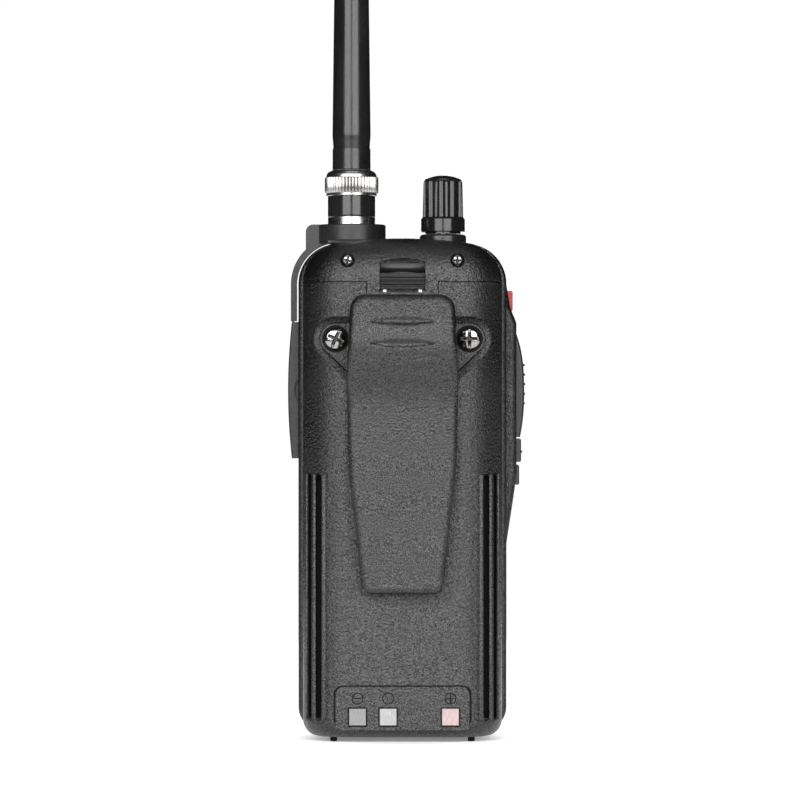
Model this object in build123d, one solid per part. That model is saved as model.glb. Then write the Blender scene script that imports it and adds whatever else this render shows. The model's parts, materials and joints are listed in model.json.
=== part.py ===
"""Handheld two-way radio with a clip-on battery pack, spring belt clip and bayonet antenna.

Frame: +Z up, the display faces -Y and the belt clip faces +Y. The origin is on the floor under the middle
of the whole radio. Lengths are in millimetres. Each sub-part is written to parts/NODE.step.
"""

from build123d import *
import math
import os

# ---- driving dimensions -------------------------------------------------------------------------
FIT = 0.1  # gap left between two pieces that are assembled together
SEAM_GAP = 0.22  # visible joint line between top cover and battery pack
PLAY = 0.25  # gap left around a piece that moves

CLIP_BACK = 25.5  # outermost face of the belt clip's thumb pad
PACK_BACK = 13.2  # rear face of the battery pack
SPLIT_Y = -9.0  # plane where radio and battery pack meet
CASE_FRONT = -24.7  # front face of the radio
KEY_FRONT = -25.5  # front of the keys

PACK_HALF = 27.0  # half the width of the battery pack
CASE_HALF = 28.5  # half the width of the front case
PACK_BOTTOM = 1.2
CASE_BOTTOM = 2.0
SEAM_Z = 123.9  # joint line between battery pack and top cover
BODY_TOP = 136.0  # crown of the top cover
CASE_TOP = 135.0
CROWN_RADIUS = 131.0  # the top of the cover is a gentle arch
SIDE_ROUND = 12.0  # rear vertical edges
TOP_ROUND = 10.5
BOTTOM_ROUND = 4.4
WALL = 1.8

TONGUE_HALF = 9.5  # tongue of the top cover that drops into the pack's notch
TONGUE_BOTTOM = 118.6

ANTENNA_X, KNOB_X, TOP_Y = 14.0, -11.15, -16.0
ANTENNA_TIP = 300.0
KNOB_TOP = 154.0
COLLAR_BOTTOM, COLLAR_TOP = 135.3, 140.4  # rubber ring round the aerial socket

SCREW_X, SCREW_Z = 18.0, 108.7  # belt clip bracket screws
BRACKET_Y = 8.2  # inner face of the bracket plate
BRACKET_THICK = 2.0
PIVOT_Y, PIVOT_Z = 15.6, 102.0  # belt clip pivot
PIN_RADIUS = 1.25

KEY_COLUMNS = (-18.0, -6.0, 6.0, 18.0)
KEY_ROWS = (75.0, 65.0)
KEY_SIZE = (9.4, 6.4)
DISPLAY_Z = 101.0
DISPLAY_SIZE = (42.0, 28.0)
SPEAKER_Z = 35.0
SPEAKER_RADIUS = 18.0

SIDE_Y = -16.5  # mid-depth of everything on the radio's two sides
BULGE_WIDTH = 11.0
BULGE_X = -31.3
PTT_BOTTOM, PTT_TOP = 82.0, 110.5
PTT_HALF_WIDTH = 3.9

COVER_BOTTOM, COVER_TOP = 76.2, 113.6  # accessory jack cover
COVER_HALF_WIDTH = 5.0
JACKS = ((104.0, 1.8), (88.0, 1.3))  # height and bore radius of each socket
JACK_IN, JACK_OUT = 17.0, 26.4

CONTACT_XS = (12.1, 3.85, -12.9)
CONTACT_Z = 6.9
CONTACT_SIDE = 5.3
PANEL_HALF, PANEL_TOP, PANEL_DEPTH = 18.6, 15.7, 0.7
COVER_SCREW_X, COVER_SCREW_Z, COVER_SCREW_SEAT = 14.8, 129.8, 10.2
CHASSIS_SCREW_X = 21.0
TERMINAL_XS = (-8, 0, 8)
TERMINAL_LOW, TERMINAL_HIGH = 107.5, 112.5
TAB_X = 14  # hooks at the foot of the pack
CHASSIS_SCREW_ZS = (15.0, 115.0)
RIB_SLOTS = ((20.2, 0.6, 11.0), (22.6, 1.5, 7.0), (25.0, 0.9, 4.6))  # centre, width, floor
RIB_SPAN = (5.8, 72.4)

CELL_RADIUS, CELL_LENGTH = 9.2, 65.0
CELL_X, CELL_Y, CELL_BOTTOM = 9.4, 2.2, 10.8

FEET = ((18.6, 6.0), (-18.6, 6.0))
CASE_FEET = ((18.6, -17.0), (-18.6, -17.0))
FOOT_RADIUS = 0.95

parts = {}


# ---- helpers ------------------------------------------------------------------------------------
def block(x, y, z):
    """A box between pairs of coordinates."""
    size = [abs(r[1] - r[0]) for r in (x, y, z)]
    centre = [(r[0] + r[1]) / 2 for r in (x, y, z)]
    return Pos(*centre) * Box(*size)


def post(x, y, z0, z1, radius):
    """An upright cylinder."""
    return Pos(x, y, (z0 + z1) / 2) * Cylinder(radius, z1 - z0)


def rod_x(x0, x1, y, z, radius):
    return Pos((x0 + x1) / 2, y, z) * Rot(0, 90, 0) * Cylinder(radius, x1 - x0)


def rod_y(x, y0, y1, z, radius):
    return Pos(x, (y0 + y1) / 2, z) * Rot(90, 0, 0) * Cylinder(radius, y1 - y0)


def along_y(face, y0, y1):
    """A face drawn in X and Z, made solid from y0 to y1."""
    plane = Plane(origin=(0, y1, 0), x_dir=(1, 0, 0), z_dir=(0, -1, 0))
    return extrude(plane * face, y1 - y0)


def along_x(face, x0, x1):
    """A face drawn in Y and Z, made solid from x0 to x1."""
    plane = Plane(origin=(x0, 0, 0), x_dir=(0, 1, 0), z_dir=(1, 0, 0))
    return extrude(plane * face, x1 - x0)


def turned(points, x=0.0, y=0.0):
    """A solid of revolution about an upright axis, from (radius, z) points."""
    face = make_face(Polyline(*points, close=True))
    return Pos(x, y, 0) * revolve(Plane.XZ * face, Axis.Z)


def rounded(width, height, radius, x, z):
    """A rounded rectangle drawn in X and Z."""
    return Pos(x, z) * RectangleRounded(width, height, radius)


def all_of(pieces):
    """Several separate solids as one node."""
    return Compound(children=list(pieces))


def cross_screw(x, z, head_y, head_radius, head_height, shank_radius, shank_length, turn=0.0):
    """A pan-head cross-recess screw driven towards -Y, its head standing from head_y towards +Y."""
    head = rod_y(x, head_y, head_y + head_height, z, head_radius)
    rim = head.edges().sort_by(Axis.Y)[-1]
    head = fillet(rim, head_height * 0.6)
    arm, slot = head_radius * 1.15, head_radius * 0.24
    top = head_y + head_height
    depth = (top - head_height * 0.62, top + 1.0)
    cross = along_y(Rectangle(arm, slot) + Rectangle(slot, arm), *depth)
    head -= Pos(x, 0, z) * Rot(0, turn, 0) * cross
    return head + rod_y(x, head_y - shank_length, head_y + 0.01, z, shank_radius)


# ---- the rounded rear volume shared by battery pack and top cover --------------------------------
def crown_drop(x):
    return CROWN_RADIUS - math.sqrt(CROWN_RADIUS**2 - x**2)


def rear_volume(inset=0.0):
    """The outer shape behind the split plane, or the same shape shrunk by inset."""
    half, low, back = PACK_HALF - inset, PACK_BOTTOM + inset, PACK_BACK - inset
    crown = BODY_TOP - inset
    shoulder = crown - crown_drop(half)
    outline = [
        Line((-half, low), (half, low)),
        Line((half, low), (half, shoulder)),
        ThreePointArc((half, shoulder), (0, crown), (-half, shoulder)),
        Line((-half, shoulder), (-half, low)),
    ]
    solid = along_y(make_face(outline), SPLIT_Y, back)
    upright = solid.edges().filter_by(Axis.Z).group_by(Axis.Y)[-1]
    solid = fillet(upright, SIDE_ROUND - inset)
    top = [e for e in solid.edges() if e.center().Z > shoulder - 0.1 and e.center().Y > SPLIT_Y + 0.5]
    solid = fillet(top, TOP_ROUND - inset)
    base = [e for e in solid.edges() if e.center().Z < low + 0.1 and e.center().Y > SPLIT_Y + 0.5]
    return fillet(base, BOTTOM_ROUND - inset * 0.9)


def tongue_zone(gap):
    return block((-TONGUE_HALF - gap, TONGUE_HALF + gap), (-50, 50), (TONGUE_BOTTOM - gap, BODY_TOP + 5))


# ---- battery pack --------------------------------------------------------------------------------
def bracket_outline(grow):
    """Outline of the belt clip's bracket: two round ears joined by a plate that narrows downwards."""
    ear = 4.4 + grow
    foot = Pos(0, 92.0 - grow) * Rectangle(13.0 + grow, 1.0)
    ears = [Pos(side * SCREW_X, SCREW_Z) * Circle(ear) for side in (-1, 1)]
    return make_hull(foot.edges() + ears[0].edges() + ears[1].edges())


def make_battery_case():
    solid = rear_volume() & block((-40, 40), (SPLIT_Y + 0.2, 40), (0, SEAM_Z))
    solid -= tongue_zone(SEAM_GAP)
    narrow = block((-18.8, 18.8), (-20, 11.6), (CELL_BOTTOM - 1.0, 88))
    wide = block((-24.4, 24.4), (-20, 2.8), (4.0, 88))
    upper = block((-24.4, 24.4), (-20, BRACKET_Y - 1.9), (86, TONGUE_BOTTOM - 2.4))
    solid -= narrow + wide + upper
    solid -= block((-25.4, 25.4), (-20, SPLIT_Y + 1.7), (3.0, SEAM_Z - 1.4))
    notch_half = TONGUE_HALF + 1.6
    notch_wall = block((-notch_half, notch_half), (SPLIT_Y + 0.2, 0), (TONGUE_BOTTOM - 1.9, SEAM_Z))
    solid += notch_wall - tongue_zone(SEAM_GAP)
    pocket = along_y(bracket_outline(1.6), BRACKET_Y - FIT, 40)
    solid -= pocket
    low, high = RIB_SPAN
    for centre, width, floor in RIB_SLOTS:
        for side in (-1, 1):
            slot = Pos(side * centre, (low + high) / 2) * Rot(0, 0, 90) * SlotOverall(high - low, width)
            solid -= along_y(slot, floor, 40)
    return contact_panel(solid)


def contact_panel(solid):
    """The sunk panel around the charging contacts, with its polarity rings and bottom ribs."""
    frame = rounded(2 * PANEL_HALF, 2 * PANEL_TOP, 2.8, 0, 0)
    inner = rounded(2 * PANEL_HALF - 1.2, 2 * PANEL_TOP - 1.2, 2.2, 0, 0)
    sink = loft([Pos(0, 0, 0) * inner, Pos(0, 0, PANEL_DEPTH + 0.3) * frame])
    to_back = Plane(origin=(0, PACK_BACK - PANEL_DEPTH, 0), x_dir=(-1, 0, 0), z_dir=(0, 1, 0))
    solid -= (to_back * sink) & block((-40, 40), (0, 40), (PACK_BOTTOM + 2.2, 40))
    floor = PACK_BACK - PANEL_DEPTH
    for x in CONTACT_XS:
        window = rounded(CONTACT_SIDE, CONTACT_SIDE, 0.15, x, CONTACT_Z)
        solid -= along_y(window, floor - 3.0, 40)
        ring = Circle(1.6) - Circle(1.32)
        bar = Rectangle(2.6, 0.28)
        if x == CONTACT_XS[2]:
            bar += Rectangle(0.28, 2.6)
        if x == CONTACT_XS[1]:
            bar = Circle(0.45)
        solid -= Pos(x, 0, CONTACT_Z + 5.0) * along_y(ring + bar, floor - 0.25, 40)
    return solid


def make_battery_lid():
    """The flat inner cover of the pack, with the two tabs that hook into the chassis."""
    plate = block((-25.3, 25.3), (SPLIT_Y + 0.2, SPLIT_Y + 1.6), (3.1, SEAM_Z - 1.5))
    plate -= block((-TONGUE_HALF - 1.7, TONGUE_HALF + 1.7), (-20, 0), (TONGUE_BOTTOM - 2.0, 130))
    plate -= block((-12, 12), (-20, SPLIT_Y + 0.9), (106.5, 113.5))
    for z in range(20, 100, 10):
        plate -= block((-20, 20), (-20, SPLIT_Y + 0.6), (z, z + 1.2))
    for side in (-1, 1):
        plate += block((side * TAB_X - 3.5, side * TAB_X + 3.5), (SPLIT_Y - 2.4, SPLIT_Y + 0.3), (5.0, 7.0))
    return plate


def make_battery_cells():
    cells = []
    for side in (-1, 1):
        cell = post(side * CELL_X, CELL_Y, CELL_BOTTOM, CELL_BOTTOM + CELL_LENGTH - 1.4, CELL_RADIUS - 0.1)
        cell = fillet(cell.edges(), 0.9)
        nub = post(side * CELL_X, CELL_Y, CELL_BOTTOM + CELL_LENGTH - 1.5, CELL_BOTTOM + CELL_LENGTH, 3.0)
        cells.append(cell + nub)
    return all_of(cells)


def make_cell_cradle():
    """The plastic spacer that keeps the two cells apart and off the lid."""
    top = CELL_BOTTOM + CELL_LENGTH + 0.2
    frame = block((-18.6, 18.6), (-7.2, 6.0), (top, top + 2.0))
    frame += block((-3.5, 3.5), (-7.2, -1.0), (CELL_BOTTOM + 4, top + 1.0))
    for side in (-1, 1):
        frame -= post(side * CELL_X, CELL_Y, 0, top, CELL_RADIUS + 0.05)
    return frame


def make_protection_board():
    board = block((-17, 17), (-3.0, -1.8), (79.5, 87.0))
    chips = [block((x - 2, x + 2), (-1.9, -0.8), (81, 85)) for x in (-11, -3, 7)]
    return board + chips[0] + chips[1] + chips[2]


def make_charge_contacts():
    """Three plated squares set into the rear panel."""
    plates = []
    side = CONTACT_SIDE / 2 - FIT
    for x in CONTACT_XS:
        level = PACK_BACK - PANEL_DEPTH - 3.0
        plate = block((x - side, x + side), (level, level + 2.8), (CONTACT_Z - side, CONTACT_Z + side))
        outer = plate.faces().sort_by(Axis.Y)[-1].edges()
        plates.append(chamfer(outer, 0.35))
    return all_of(plates)


def make_pack_terminals():
    level = SPLIT_Y + 0.9
    return all_of(
        block((x - 1.8, x + 1.8), (level - 0.25, level), (TERMINAL_LOW, TERMINAL_HIGH))
        for x in TERMINAL_XS
    )


# ---- belt clip -----------------------------------------------------------------------------------
def make_clip_bracket():
    plate = along_y(bracket_outline(0), BRACKET_Y, BRACKET_Y + BRACKET_THICK)
    plate = fillet(plate.faces().sort_by(Axis.Y)[-1].edges(), 0.5)
    for side in (-1, 1):
        plate -= rod_y(side * SCREW_X, 0, 30, SCREW_Z, 1.65)
        inner, outer = sorted((side * 8.0, side * 10.4))
        lug = rod_x(inner, outer, PIVOT_Y, PIVOT_Z, 3.0)
        lug += block((inner, outer), (BRACKET_Y + 1.0, PIVOT_Y), (PIVOT_Z - 3.0, PIVOT_Z + 3.0))
        plate += lug
    return plate - rod_x(-30, 30, PIVOT_Y, PIVOT_Z, PIN_RADIUS + 0.03)


def make_bracket_screws():
    head_y = BRACKET_Y + BRACKET_THICK + 0.02
    return all_of(
        cross_screw(side * SCREW_X, SCREW_Z, head_y, 2.9, 1.7, 1.5, 3.0, turn)
        - block((-40, 40), (-40, BRACKET_Y - FIT + 0.02), (0, 200))
        for side, turn in ((1, -24), (-1, 0))
    )


CLIP_FACE = [  # outer face of the lever from its top edge down to its tip, as (y, z)
    (22.9, 120.4),
    (25.15, 111.3),
    (CLIP_BACK, 107.6),
    (24.7, 103.2),
    (21.9, 95.0),
    (21.0, 91.2),
    (20.75, 87.0),
    (19.3, 40.2),
]
CLIP_THICK = 2.5
CLIP_TIP_Y = PACK_BACK + 0.3


def clip_plan():
    """The lever's outline seen from behind: widest at the pivot, tapering to its tip."""
    half = [(14.1, 120.4), (14.2, 112.0), (14.9, 98.0), (14.2, 72.0), (10.7, 40.2)]
    points = half + [(-x, z) for x, z in reversed(half)]
    plan = make_face(Polyline(*points, close=True))
    top = plan.vertices().group_by(Axis.Y)[-1]
    plan = fillet(top, 4.2)
    return fillet(plan.vertices().group_by(Axis.Y)[0], 2.4)


def lever_side(offset):
    """One side of the lever's profile: flat, round over the pad, flat slope, round into the long tongue."""
    p = [(y - offset, z) for y, z in CLIP_FACE]
    return [
        Line(p[0], p[1]),
        ThreePointArc(p[1], p[2], p[3]),
        Line(p[3], p[4]),
        ThreePointArc(p[4], p[5], p[6]),
        Line(p[6], p[7]),
    ]


def make_belt_clip():
    outer, inner = lever_side(0), lever_side(CLIP_THICK)
    ends = [Line(outer[0] @ 0, inner[0] @ 0), Line(outer[-1] @ 1, inner[-1] @ 1)]
    lever = along_x(make_face(outer + inner + ends), -16, 16)
    lever &= along_y(clip_plan(), 0, 40)
    for z in (113.2, 107.2):
        lever -= thumb_groove(z)
    lip = block((-9.6, 9.6), (CLIP_TIP_Y, 18.6), (41.4, 43.6))
    lever += fillet(lip.edges().filter_by(Axis.X).group_by(Axis.Y)[0], 0.9)
    for side in (-1, 1):
        inner_x, outer_x = sorted((side * 10.75, side * 13.3))
        ear = rod_x(inner_x, outer_x, PIVOT_Y, PIVOT_Z, 3.0)
        web = Polygon((12.9, 100.0), (22.8, 94.4), (23.4, 111.0), (15.4, 105.0), align=None)
        lever += ear + along_x(web, inner_x, outer_x)
    return lever - rod_x(-30, 30, PIVOT_Y, PIVOT_Z, PIN_RADIUS + 0.05)


def clip_face_y(z):
    """How far back the lever's outer face lies at height z, along straight lines between its points."""
    for (y1, z1), (y2, z2) in zip(CLIP_FACE, CLIP_FACE[1:]):
        if z2 <= z <= z1:
            return y1 + (y2 - y1) * (z1 - z) / (z1 - z2)
    return CLIP_FACE[0][0] if z > CLIP_FACE[0][1] else CLIP_FACE[-1][0]


def thumb_groove(z):
    """A lens-shaped hollow: a level round channel kept only where two flat bows cross."""
    bow, half_height, channel = 46.0, 1.1, 1.6
    hollow = Pos(0, clip_face_y(z) + 0.85, z) * Rot(0, 90, 0) * Cylinder(channel, 40)
    lens = Pos(0, 0, z - bow + half_height) * Rot(90, 0, 0) * Cylinder(bow, 80)
    lens &= Pos(0, 0, z + bow - half_height) * Rot(90, 0, 0) * Cylinder(bow, 80)
    return hollow & lens


def make_clip_pin():
    pin = rod_x(-13.2, 13.2, PIVOT_Y, PIVOT_Z, PIN_RADIUS)
    return chamfer(pin.edges(), 0.3)


def close_coil(length, turns, outer, inner):
    """A closely wound spring standing on the origin: a sleeve whose outside swells once for each turn."""
    step = length / turns
    waist = outer - step * 0.45
    edges = [Line((inner, 0), (waist, 0))]
    for n in range(turns):
        edges.append(ThreePointArc((waist, n * step), (outer, (n + 0.5) * step), (waist, (n + 1) * step)))
    edges += [Line((waist, length), (inner, length)), Line((inner, length), (inner, 0))]
    return revolve(Plane.XZ * make_face(edges), Axis.Z)


def make_clip_spring():
    """Torsion spring round the pin, with one leg on the bracket and one on the lever."""
    half, wire, leg = 7.0, 0.45, 2.1
    spring = Pos(-half, PIVOT_Y, PIVOT_Z) * Rot(0, 90, 0) * close_coil(2 * half, 14, 2.6, PIN_RADIUS + 0.25)
    rear_leg = Pos(half - 0.6, PIVOT_Y + leg, PIVOT_Z + 2.8) * Cylinder(wire, 6.0)
    front_leg = Pos(0.6 - half, PIVOT_Y - leg, PIVOT_Z - 3.4) * Cylinder(wire, 7.2)
    return spring + rear_leg + front_leg


# ---- top cover and latch -------------------------------------------------------------------------
WINDOW_HALF, WINDOW_BOTTOM, WINDOW_TOP = 6.2, 121.2, 129.4
WINDOW_ARCH = 1.0
LATCH_FACE = 11.7
SPRING_BOTTOM, SPRING_TOP = 124.0, 131.0  # springs that push the thumb slide down


def window_shape(grow=0.0):
    half, low, high = WINDOW_HALF + grow, WINDOW_BOTTOM - grow, WINDOW_TOP + grow
    edges = [
        Line((-half, high), (-half, low)),
        Line((-half, low), (half, low)),
        Line((half, low), (half, high)),
        ThreePointArc((half, high), (0, high + WINDOW_ARCH), (-half, high)),
    ]
    return make_face(edges)


def make_top_cover():
    shape = rear_volume() & block((-40, 40), (SPLIT_Y + 0.02, 40), (SEAM_Z + SEAM_GAP, 200))
    tongue = rear_volume() & block(
        (-TONGUE_HALF, TONGUE_HALF), (SPLIT_Y + 0.02, 40), (TONGUE_BOTTOM, SEAM_Z + 1.0)
    )
    hollow = rear_volume(WALL) & block((-40, 40), (-40, 40), (SEAM_Z + 2.0, 200))
    hollow += block((-7.4, 7.4), (-20, PACK_BACK - 3.4), (TONGUE_BOTTOM + 1.6, SEAM_Z + 4.0))
    shape = shape + tongue - hollow
    shape += rear_volume(1.0) & block((-9.0, 9.0), (PACK_BACK - 3.2, 40), (125.0, 133.0))
    shape += rear_volume(0.8) & block((-6.0, 6.0), (6.4, 8.5), (SPRING_TOP + 0.05, 134.6))
    shape -= along_y(window_shape(), PACK_BACK - 5.0, 40)
    shape -= block((-7.0, 7.0), (8.6, 10.9), (119.9, 130.0))
    shape -= block((-7.0, 7.0), (8.6, 10.3), (129.0, 132.2))
    for side in (-1, 1):
        boss = rod_y(side * COVER_SCREW_X, SPLIT_Y + 0.02, 11.0, COVER_SCREW_Z, 3.0) & rear_volume(0.5)
        shape += boss
        shape -= rod_y(side * COVER_SCREW_X, COVER_SCREW_SEAT, 40, COVER_SCREW_Z, 1.95)
        shape -= rod_y(side * COVER_SCREW_X, -20, 40, COVER_SCREW_Z, 1.0)
        shape -= block((side * 4.8 - 1.0, side * 4.8 + 1.0), (8.8, 10.6), (TONGUE_BOTTOM - 1, 122))
    return shape


def make_latch_slider():
    """The thumb slide: a ribbed face with an arched ledge, a scoop above it, and a carrier."""
    half, low, high = WINDOW_HALF - PLAY, 122.1, 125.7
    edges = [
        Line((-half, high), (-half, low)),
        Line((-half, low), (half, low)),
        Line((half, low), (half, high)),
        ThreePointArc((half, high), (0, high + WINDOW_ARCH), (-half, high)),
    ]
    face = along_y(make_face(edges), 9.4, LATCH_FACE)
    for z in (123.0, 124.0, 125.0):
        face -= rod_x(-10, 10, LATCH_FACE + 0.1, z, 0.36)
    scoop = make_face([
        Line((8.9, 125.0), (10.7, 125.0)),
        Line((10.7, 125.0), (10.7, 126.4)),
        ThreePointArc((10.7, 126.4), (9.75, 127.5), (9.4, 129.2)),
        Line((9.4, 129.2), (8.9, 129.2)),
        Line((8.9, 129.2), (8.9, 125.0)),
    ])
    slider = face + along_x(scoop, -half, half)
    slider += block((-6.7, 6.7), (8.9, 10.6), (122.1, 126.0))
    return slider + block((-5.4, 5.4), (6.7, 9.0), (122.1, SPRING_BOTTOM - 0.05))


def make_latch_prongs():
    """The two steel prongs that reach down from the slide towards the pack."""
    prongs = [
        block((x - 0.45, x + 0.45), (9.05, 10.35), (TONGUE_BOTTOM + 0.1, 122.0)) for x in (-4.8, 4.8)
    ]
    return all_of(fillet(p.edges().group_by(Axis.Z)[0], 0.3) for p in prongs)


def make_latch_springs():
    """Two small coil springs above the slide."""
    spring = close_coil(SPRING_TOP - SPRING_BOTTOM, 8, 0.75, 0.3)
    return all_of(Pos(x, 7.6, SPRING_BOTTOM) * spring for x in (-4, 4))


def make_cover_screws():
    return all_of(
        cross_screw(side * COVER_SCREW_X, COVER_SCREW_Z, COVER_SCREW_SEAT, 1.45, 1.0, 0.95, 12.0, turn)
        for side, turn in ((1, 12), (-1, 0))
    )


# ---- front case ----------------------------------------------------------------------------------
def case_volume(inset=0.0):
    half, low, high = CASE_HALF - inset, CASE_BOTTOM + inset, CASE_TOP - inset
    face = Pos(0, (low + high) / 2) * Rectangle(2 * half, high - low)
    face = fillet(face.vertices().group_by(Axis.Y)[-1], 11.0 - inset)
    face = fillet(face.vertices().group_by(Axis.Y)[0], 6.0 - inset)
    solid = along_y(face, CASE_FRONT + inset, SPLIT_Y)
    solid = fillet(solid.faces().sort_by(Axis.Y)[0].edges(), 4.0 - inset)
    if inset:
        return solid
    return fillet(solid.faces().sort_by(Axis.Y)[-1].edges(), 1.3)


def bulge(inset=0.0):
    """The raised grip on the radio's left side that carries its side keys."""
    points = [
        (-20.0, 123.5),
        (-28.6, 123.5),
        (-29.6, 117.5),
        (BULGE_X, 113.4),
        (BULGE_X, 72.0),
        (-30.7, 67.0),
        (-28.2, 50.6),
        (-20.0, 50.6),
    ]
    points = [(x + inset if x < -21 else x, z) for x, z in points]
    face = make_face(Polyline(*points, close=True))
    bends = [v for v in face.vertices() if v.X < -28.9 + inset and 60 < v.Y < 120]
    face = fillet(bends, 3.0)
    half = BULGE_WIDTH / 2 - inset
    solid = along_y(face, SIDE_Y - half, SIDE_Y + half)
    if inset:
        return solid
    rims = [e for e in solid.edges() if e.center().X < -28.0 and abs(e.center().Y - SIDE_Y) > half - 0.1]
    return fillet(rims, 1.6)


def key_face(column, row, grow=0.0):
    width, height = KEY_SIZE
    return rounded(width + 2 * grow, height + 2 * grow, height / 2 + grow - 0.05, column, row)


SIDE_KEYS = {  # low z, high z, half width, inner x and outer x of each pushed key
    "alarm_key": (116.6, 122.2, 2.6, -26.4, -30.3),
    "monitor_key": (75.2, 81.6, 3.4, -28.6, -32.6),
    "lock_key": (68.9, 74.4, 2.4, -28.4, -32.1),
}


def side_window(low, high, half_width):
    return block((-40, -24), (SIDE_Y - half_width, SIDE_Y + half_width), (low, high))


def make_front_case():
    solid = case_volume() + bulge()
    solid += post(ANTENNA_X, TOP_Y, CASE_TOP - 1, COLLAR_BOTTOM - 0.05, 5.5)
    solid -= case_volume(WALL) + block((-25, 25), (-12, 0), (6, 131))
    solid -= bulge(WALL) & block((-40, -20), (-40, 0), (52, 122))
    solid -= display_cuts() + speaker_cuts()
    for row in KEY_ROWS:
        for column in KEY_COLUMNS:
            solid -= along_y(key_face(column, row, PLAY), -30, -20)
    for low, high, half_width, _, _ in SIDE_KEYS.values():
        solid -= side_window(low - PLAY, high + PLAY, half_width + PLAY)
    solid -= side_window(PTT_BOTTOM - PLAY, PTT_TOP + PLAY, PTT_HALF_WIDTH + PLAY)
    for z, _ in JACKS:
        solid -= rod_x(26, 30, SIDE_Y, z, 3.4)
    solid -= post(ANTENNA_X, TOP_Y, 130, 140, 5.0)
    solid -= post(KNOB_X, TOP_Y, 130, 140, 3.6)
    solid -= rod_y(20.5, -30, -20, 125.0, 1.3)
    return solid - rod_y(-19.5, -30, -20, 12.5, 0.6)


def display_cuts():
    width, height = DISPLAY_SIZE
    recess = along_y(rounded(width, height, 3.0, 0, DISPLAY_Z), CASE_FRONT - 1, CASE_FRONT + 0.9)
    return recess + along_y(rounded(width - 5, height - 5, 1.5, 0, DISPLAY_Z), -30, -20)


def speaker_cuts():
    """Level slots whose lengths follow a circle."""
    slots = None
    for n in range(-5, 6):
        z = n * 3.1
        length = 2 * math.sqrt(SPEAKER_RADIUS**2 - z**2)
        slot = along_y(Pos(0, SPEAKER_Z + z) * SlotOverall(length, 1.3), -30, -20)
        slots = slot if slots is None else slots + slot
    return slots


def make_chassis():
    face = Pos(0, 68.5) * Rectangle(53.2, 128.8)
    face = fillet(face.vertices().group_by(Axis.Y)[-1], 9.0)
    face = fillet(face.vertices().group_by(Axis.Y)[0], 4.0)
    plate = along_y(face, SPLIT_Y - 1.8, SPLIT_Y - 0.02)
    for side in (-1, 1):
        plate -= block((side * TAB_X - 3.9, side * TAB_X + 3.9), (-20, 0), (4.6, 7.4))
        plate -= rod_y(side * COVER_SCREW_X, -20, 0, COVER_SCREW_Z, 1.0)
        for z in CHASSIS_SCREW_ZS:
            plate -= rod_y(side * CHASSIS_SCREW_X, SPLIT_Y - 0.9, 0, z, 2.2)
            plate -= rod_y(side * CHASSIS_SCREW_X, -20, 0, z, 1.05)
        plate -= block((side * 24.6 - 0.5, side * 24.6 + 0.5), (SPLIT_Y - 0.8, 0), (20, 95))
    for x in TERMINAL_XS:
        plate -= block((x - 1.3, x + 1.3), (-20, 0), (TERMINAL_LOW + FIT, TERMINAL_HIGH - FIT))
    for z in range(24, 92, 8):
        plate -= block((-17, 17), (SPLIT_Y - 0.7, 0), (z, z + 3.0))
    return plate


def make_chassis_screws():
    return all_of(
        cross_screw(side * CHASSIS_SCREW_X, z, SPLIT_Y - 0.9, 1.9, 0.8, 1.0, 4.0, 20.0 * side)
        for side in (-1, 1)
        for z in CHASSIS_SCREW_ZS
    )


def make_battery_springs():
    """Three gold spring fingers that bear on the pack's terminals."""
    fingers = []
    for x in TERMINAL_XS:
        shape = Polygon((-12.6, 108.0), (-12.2, 108.0), (-8.42, 109.6), (-8.42, 110.6), (-12.2, 112.0),
                        (-12.6, 112.0), align=None)
        shape -= Polygon((-12.7, 108.5), (-12.3, 108.5), (-8.9, 109.8), (-8.9, 110.4), (-12.3, 111.5),
                         (-12.7, 111.5), align=None)
        fingers.append(along_x(shape, x - 1.0, x + 1.0))
    return all_of(fingers)


# ---- inside the radio ----------------------------------------------------------------------------
def make_display_lens():
    width, height = DISPLAY_SIZE
    lens = along_y(rounded(width - 0.2, height - 0.2, 2.9, 0, DISPLAY_Z), CASE_FRONT, CASE_FRONT + 0.85)
    return chamfer(lens.faces().sort_by(Axis.Y)[0].edges(), 0.2)


def make_display_panel():
    width, height = DISPLAY_SIZE
    return block(
        (-width / 2 + 1, width / 2 - 1),
        (CASE_FRONT + WALL + 0.1, CASE_FRONT + WALL + 2.5),
        (DISPLAY_Z - height / 2 + 1, DISPLAY_Z + height / 2 - 1),
    )


def make_main_board():
    board = block((-24.5, 24.5), (-16.0, -14.8), (9.0, 122.0))
    board -= block((JACK_IN - 2.5, 25), (-17, -14), (JACKS[1][0] - 5, JACKS[0][0] + 5))
    for x, z, w, h in ((-14, 85, 9, 9), (12, 80, 6, 10), (2, 62, 8, 5), (-15, 55, 5, 8), (16, 60, 5, 5)):
        board += block((x - w / 2, x + w / 2), (-14.9, -13.6), (z - h / 2, z + h / 2))
    return board


def make_shield_can():
    can = block((-20, 20), (-14.7, -11.4), (14, 46))
    can = fillet(can.faces().sort_by(Axis.Y)[-1].edges(), 0.8)
    return can - block((-19.6, 19.6), (-20, -11.8), (14.4, 45.6))


def make_speaker():
    """Frame and magnet as one unit, dished like a small moving-coil speaker."""
    points = [(0, 0), (17.0, 0), (17.0, 1.6), (12.0, 3.0), (9.0, 3.2), (9.0, 5.8), (0, 5.8)]
    cone = revolve(Plane.XZ * make_face(Polyline(*points, close=True)), Axis.Z)
    return Pos(0, -22.2, SPEAKER_Z) * Rot(-90, 0, 0) * cone


def make_speaker_mesh():
    return rod_y(0, -22.8, -22.3, SPEAKER_Z, 18.6)


def make_microphone():
    return rod_y(-19.5, -22.7, -20.4, 12.5, 2.2)


def make_key_mat():
    mat = block((-25, 25), (-21.5, -20.7), (58.0, 82.0))
    for row in KEY_ROWS:
        for column in KEY_COLUMNS:
            mat += along_y(key_face(column, row, -0.9), -20.8, -19.9)
    return mat


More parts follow.
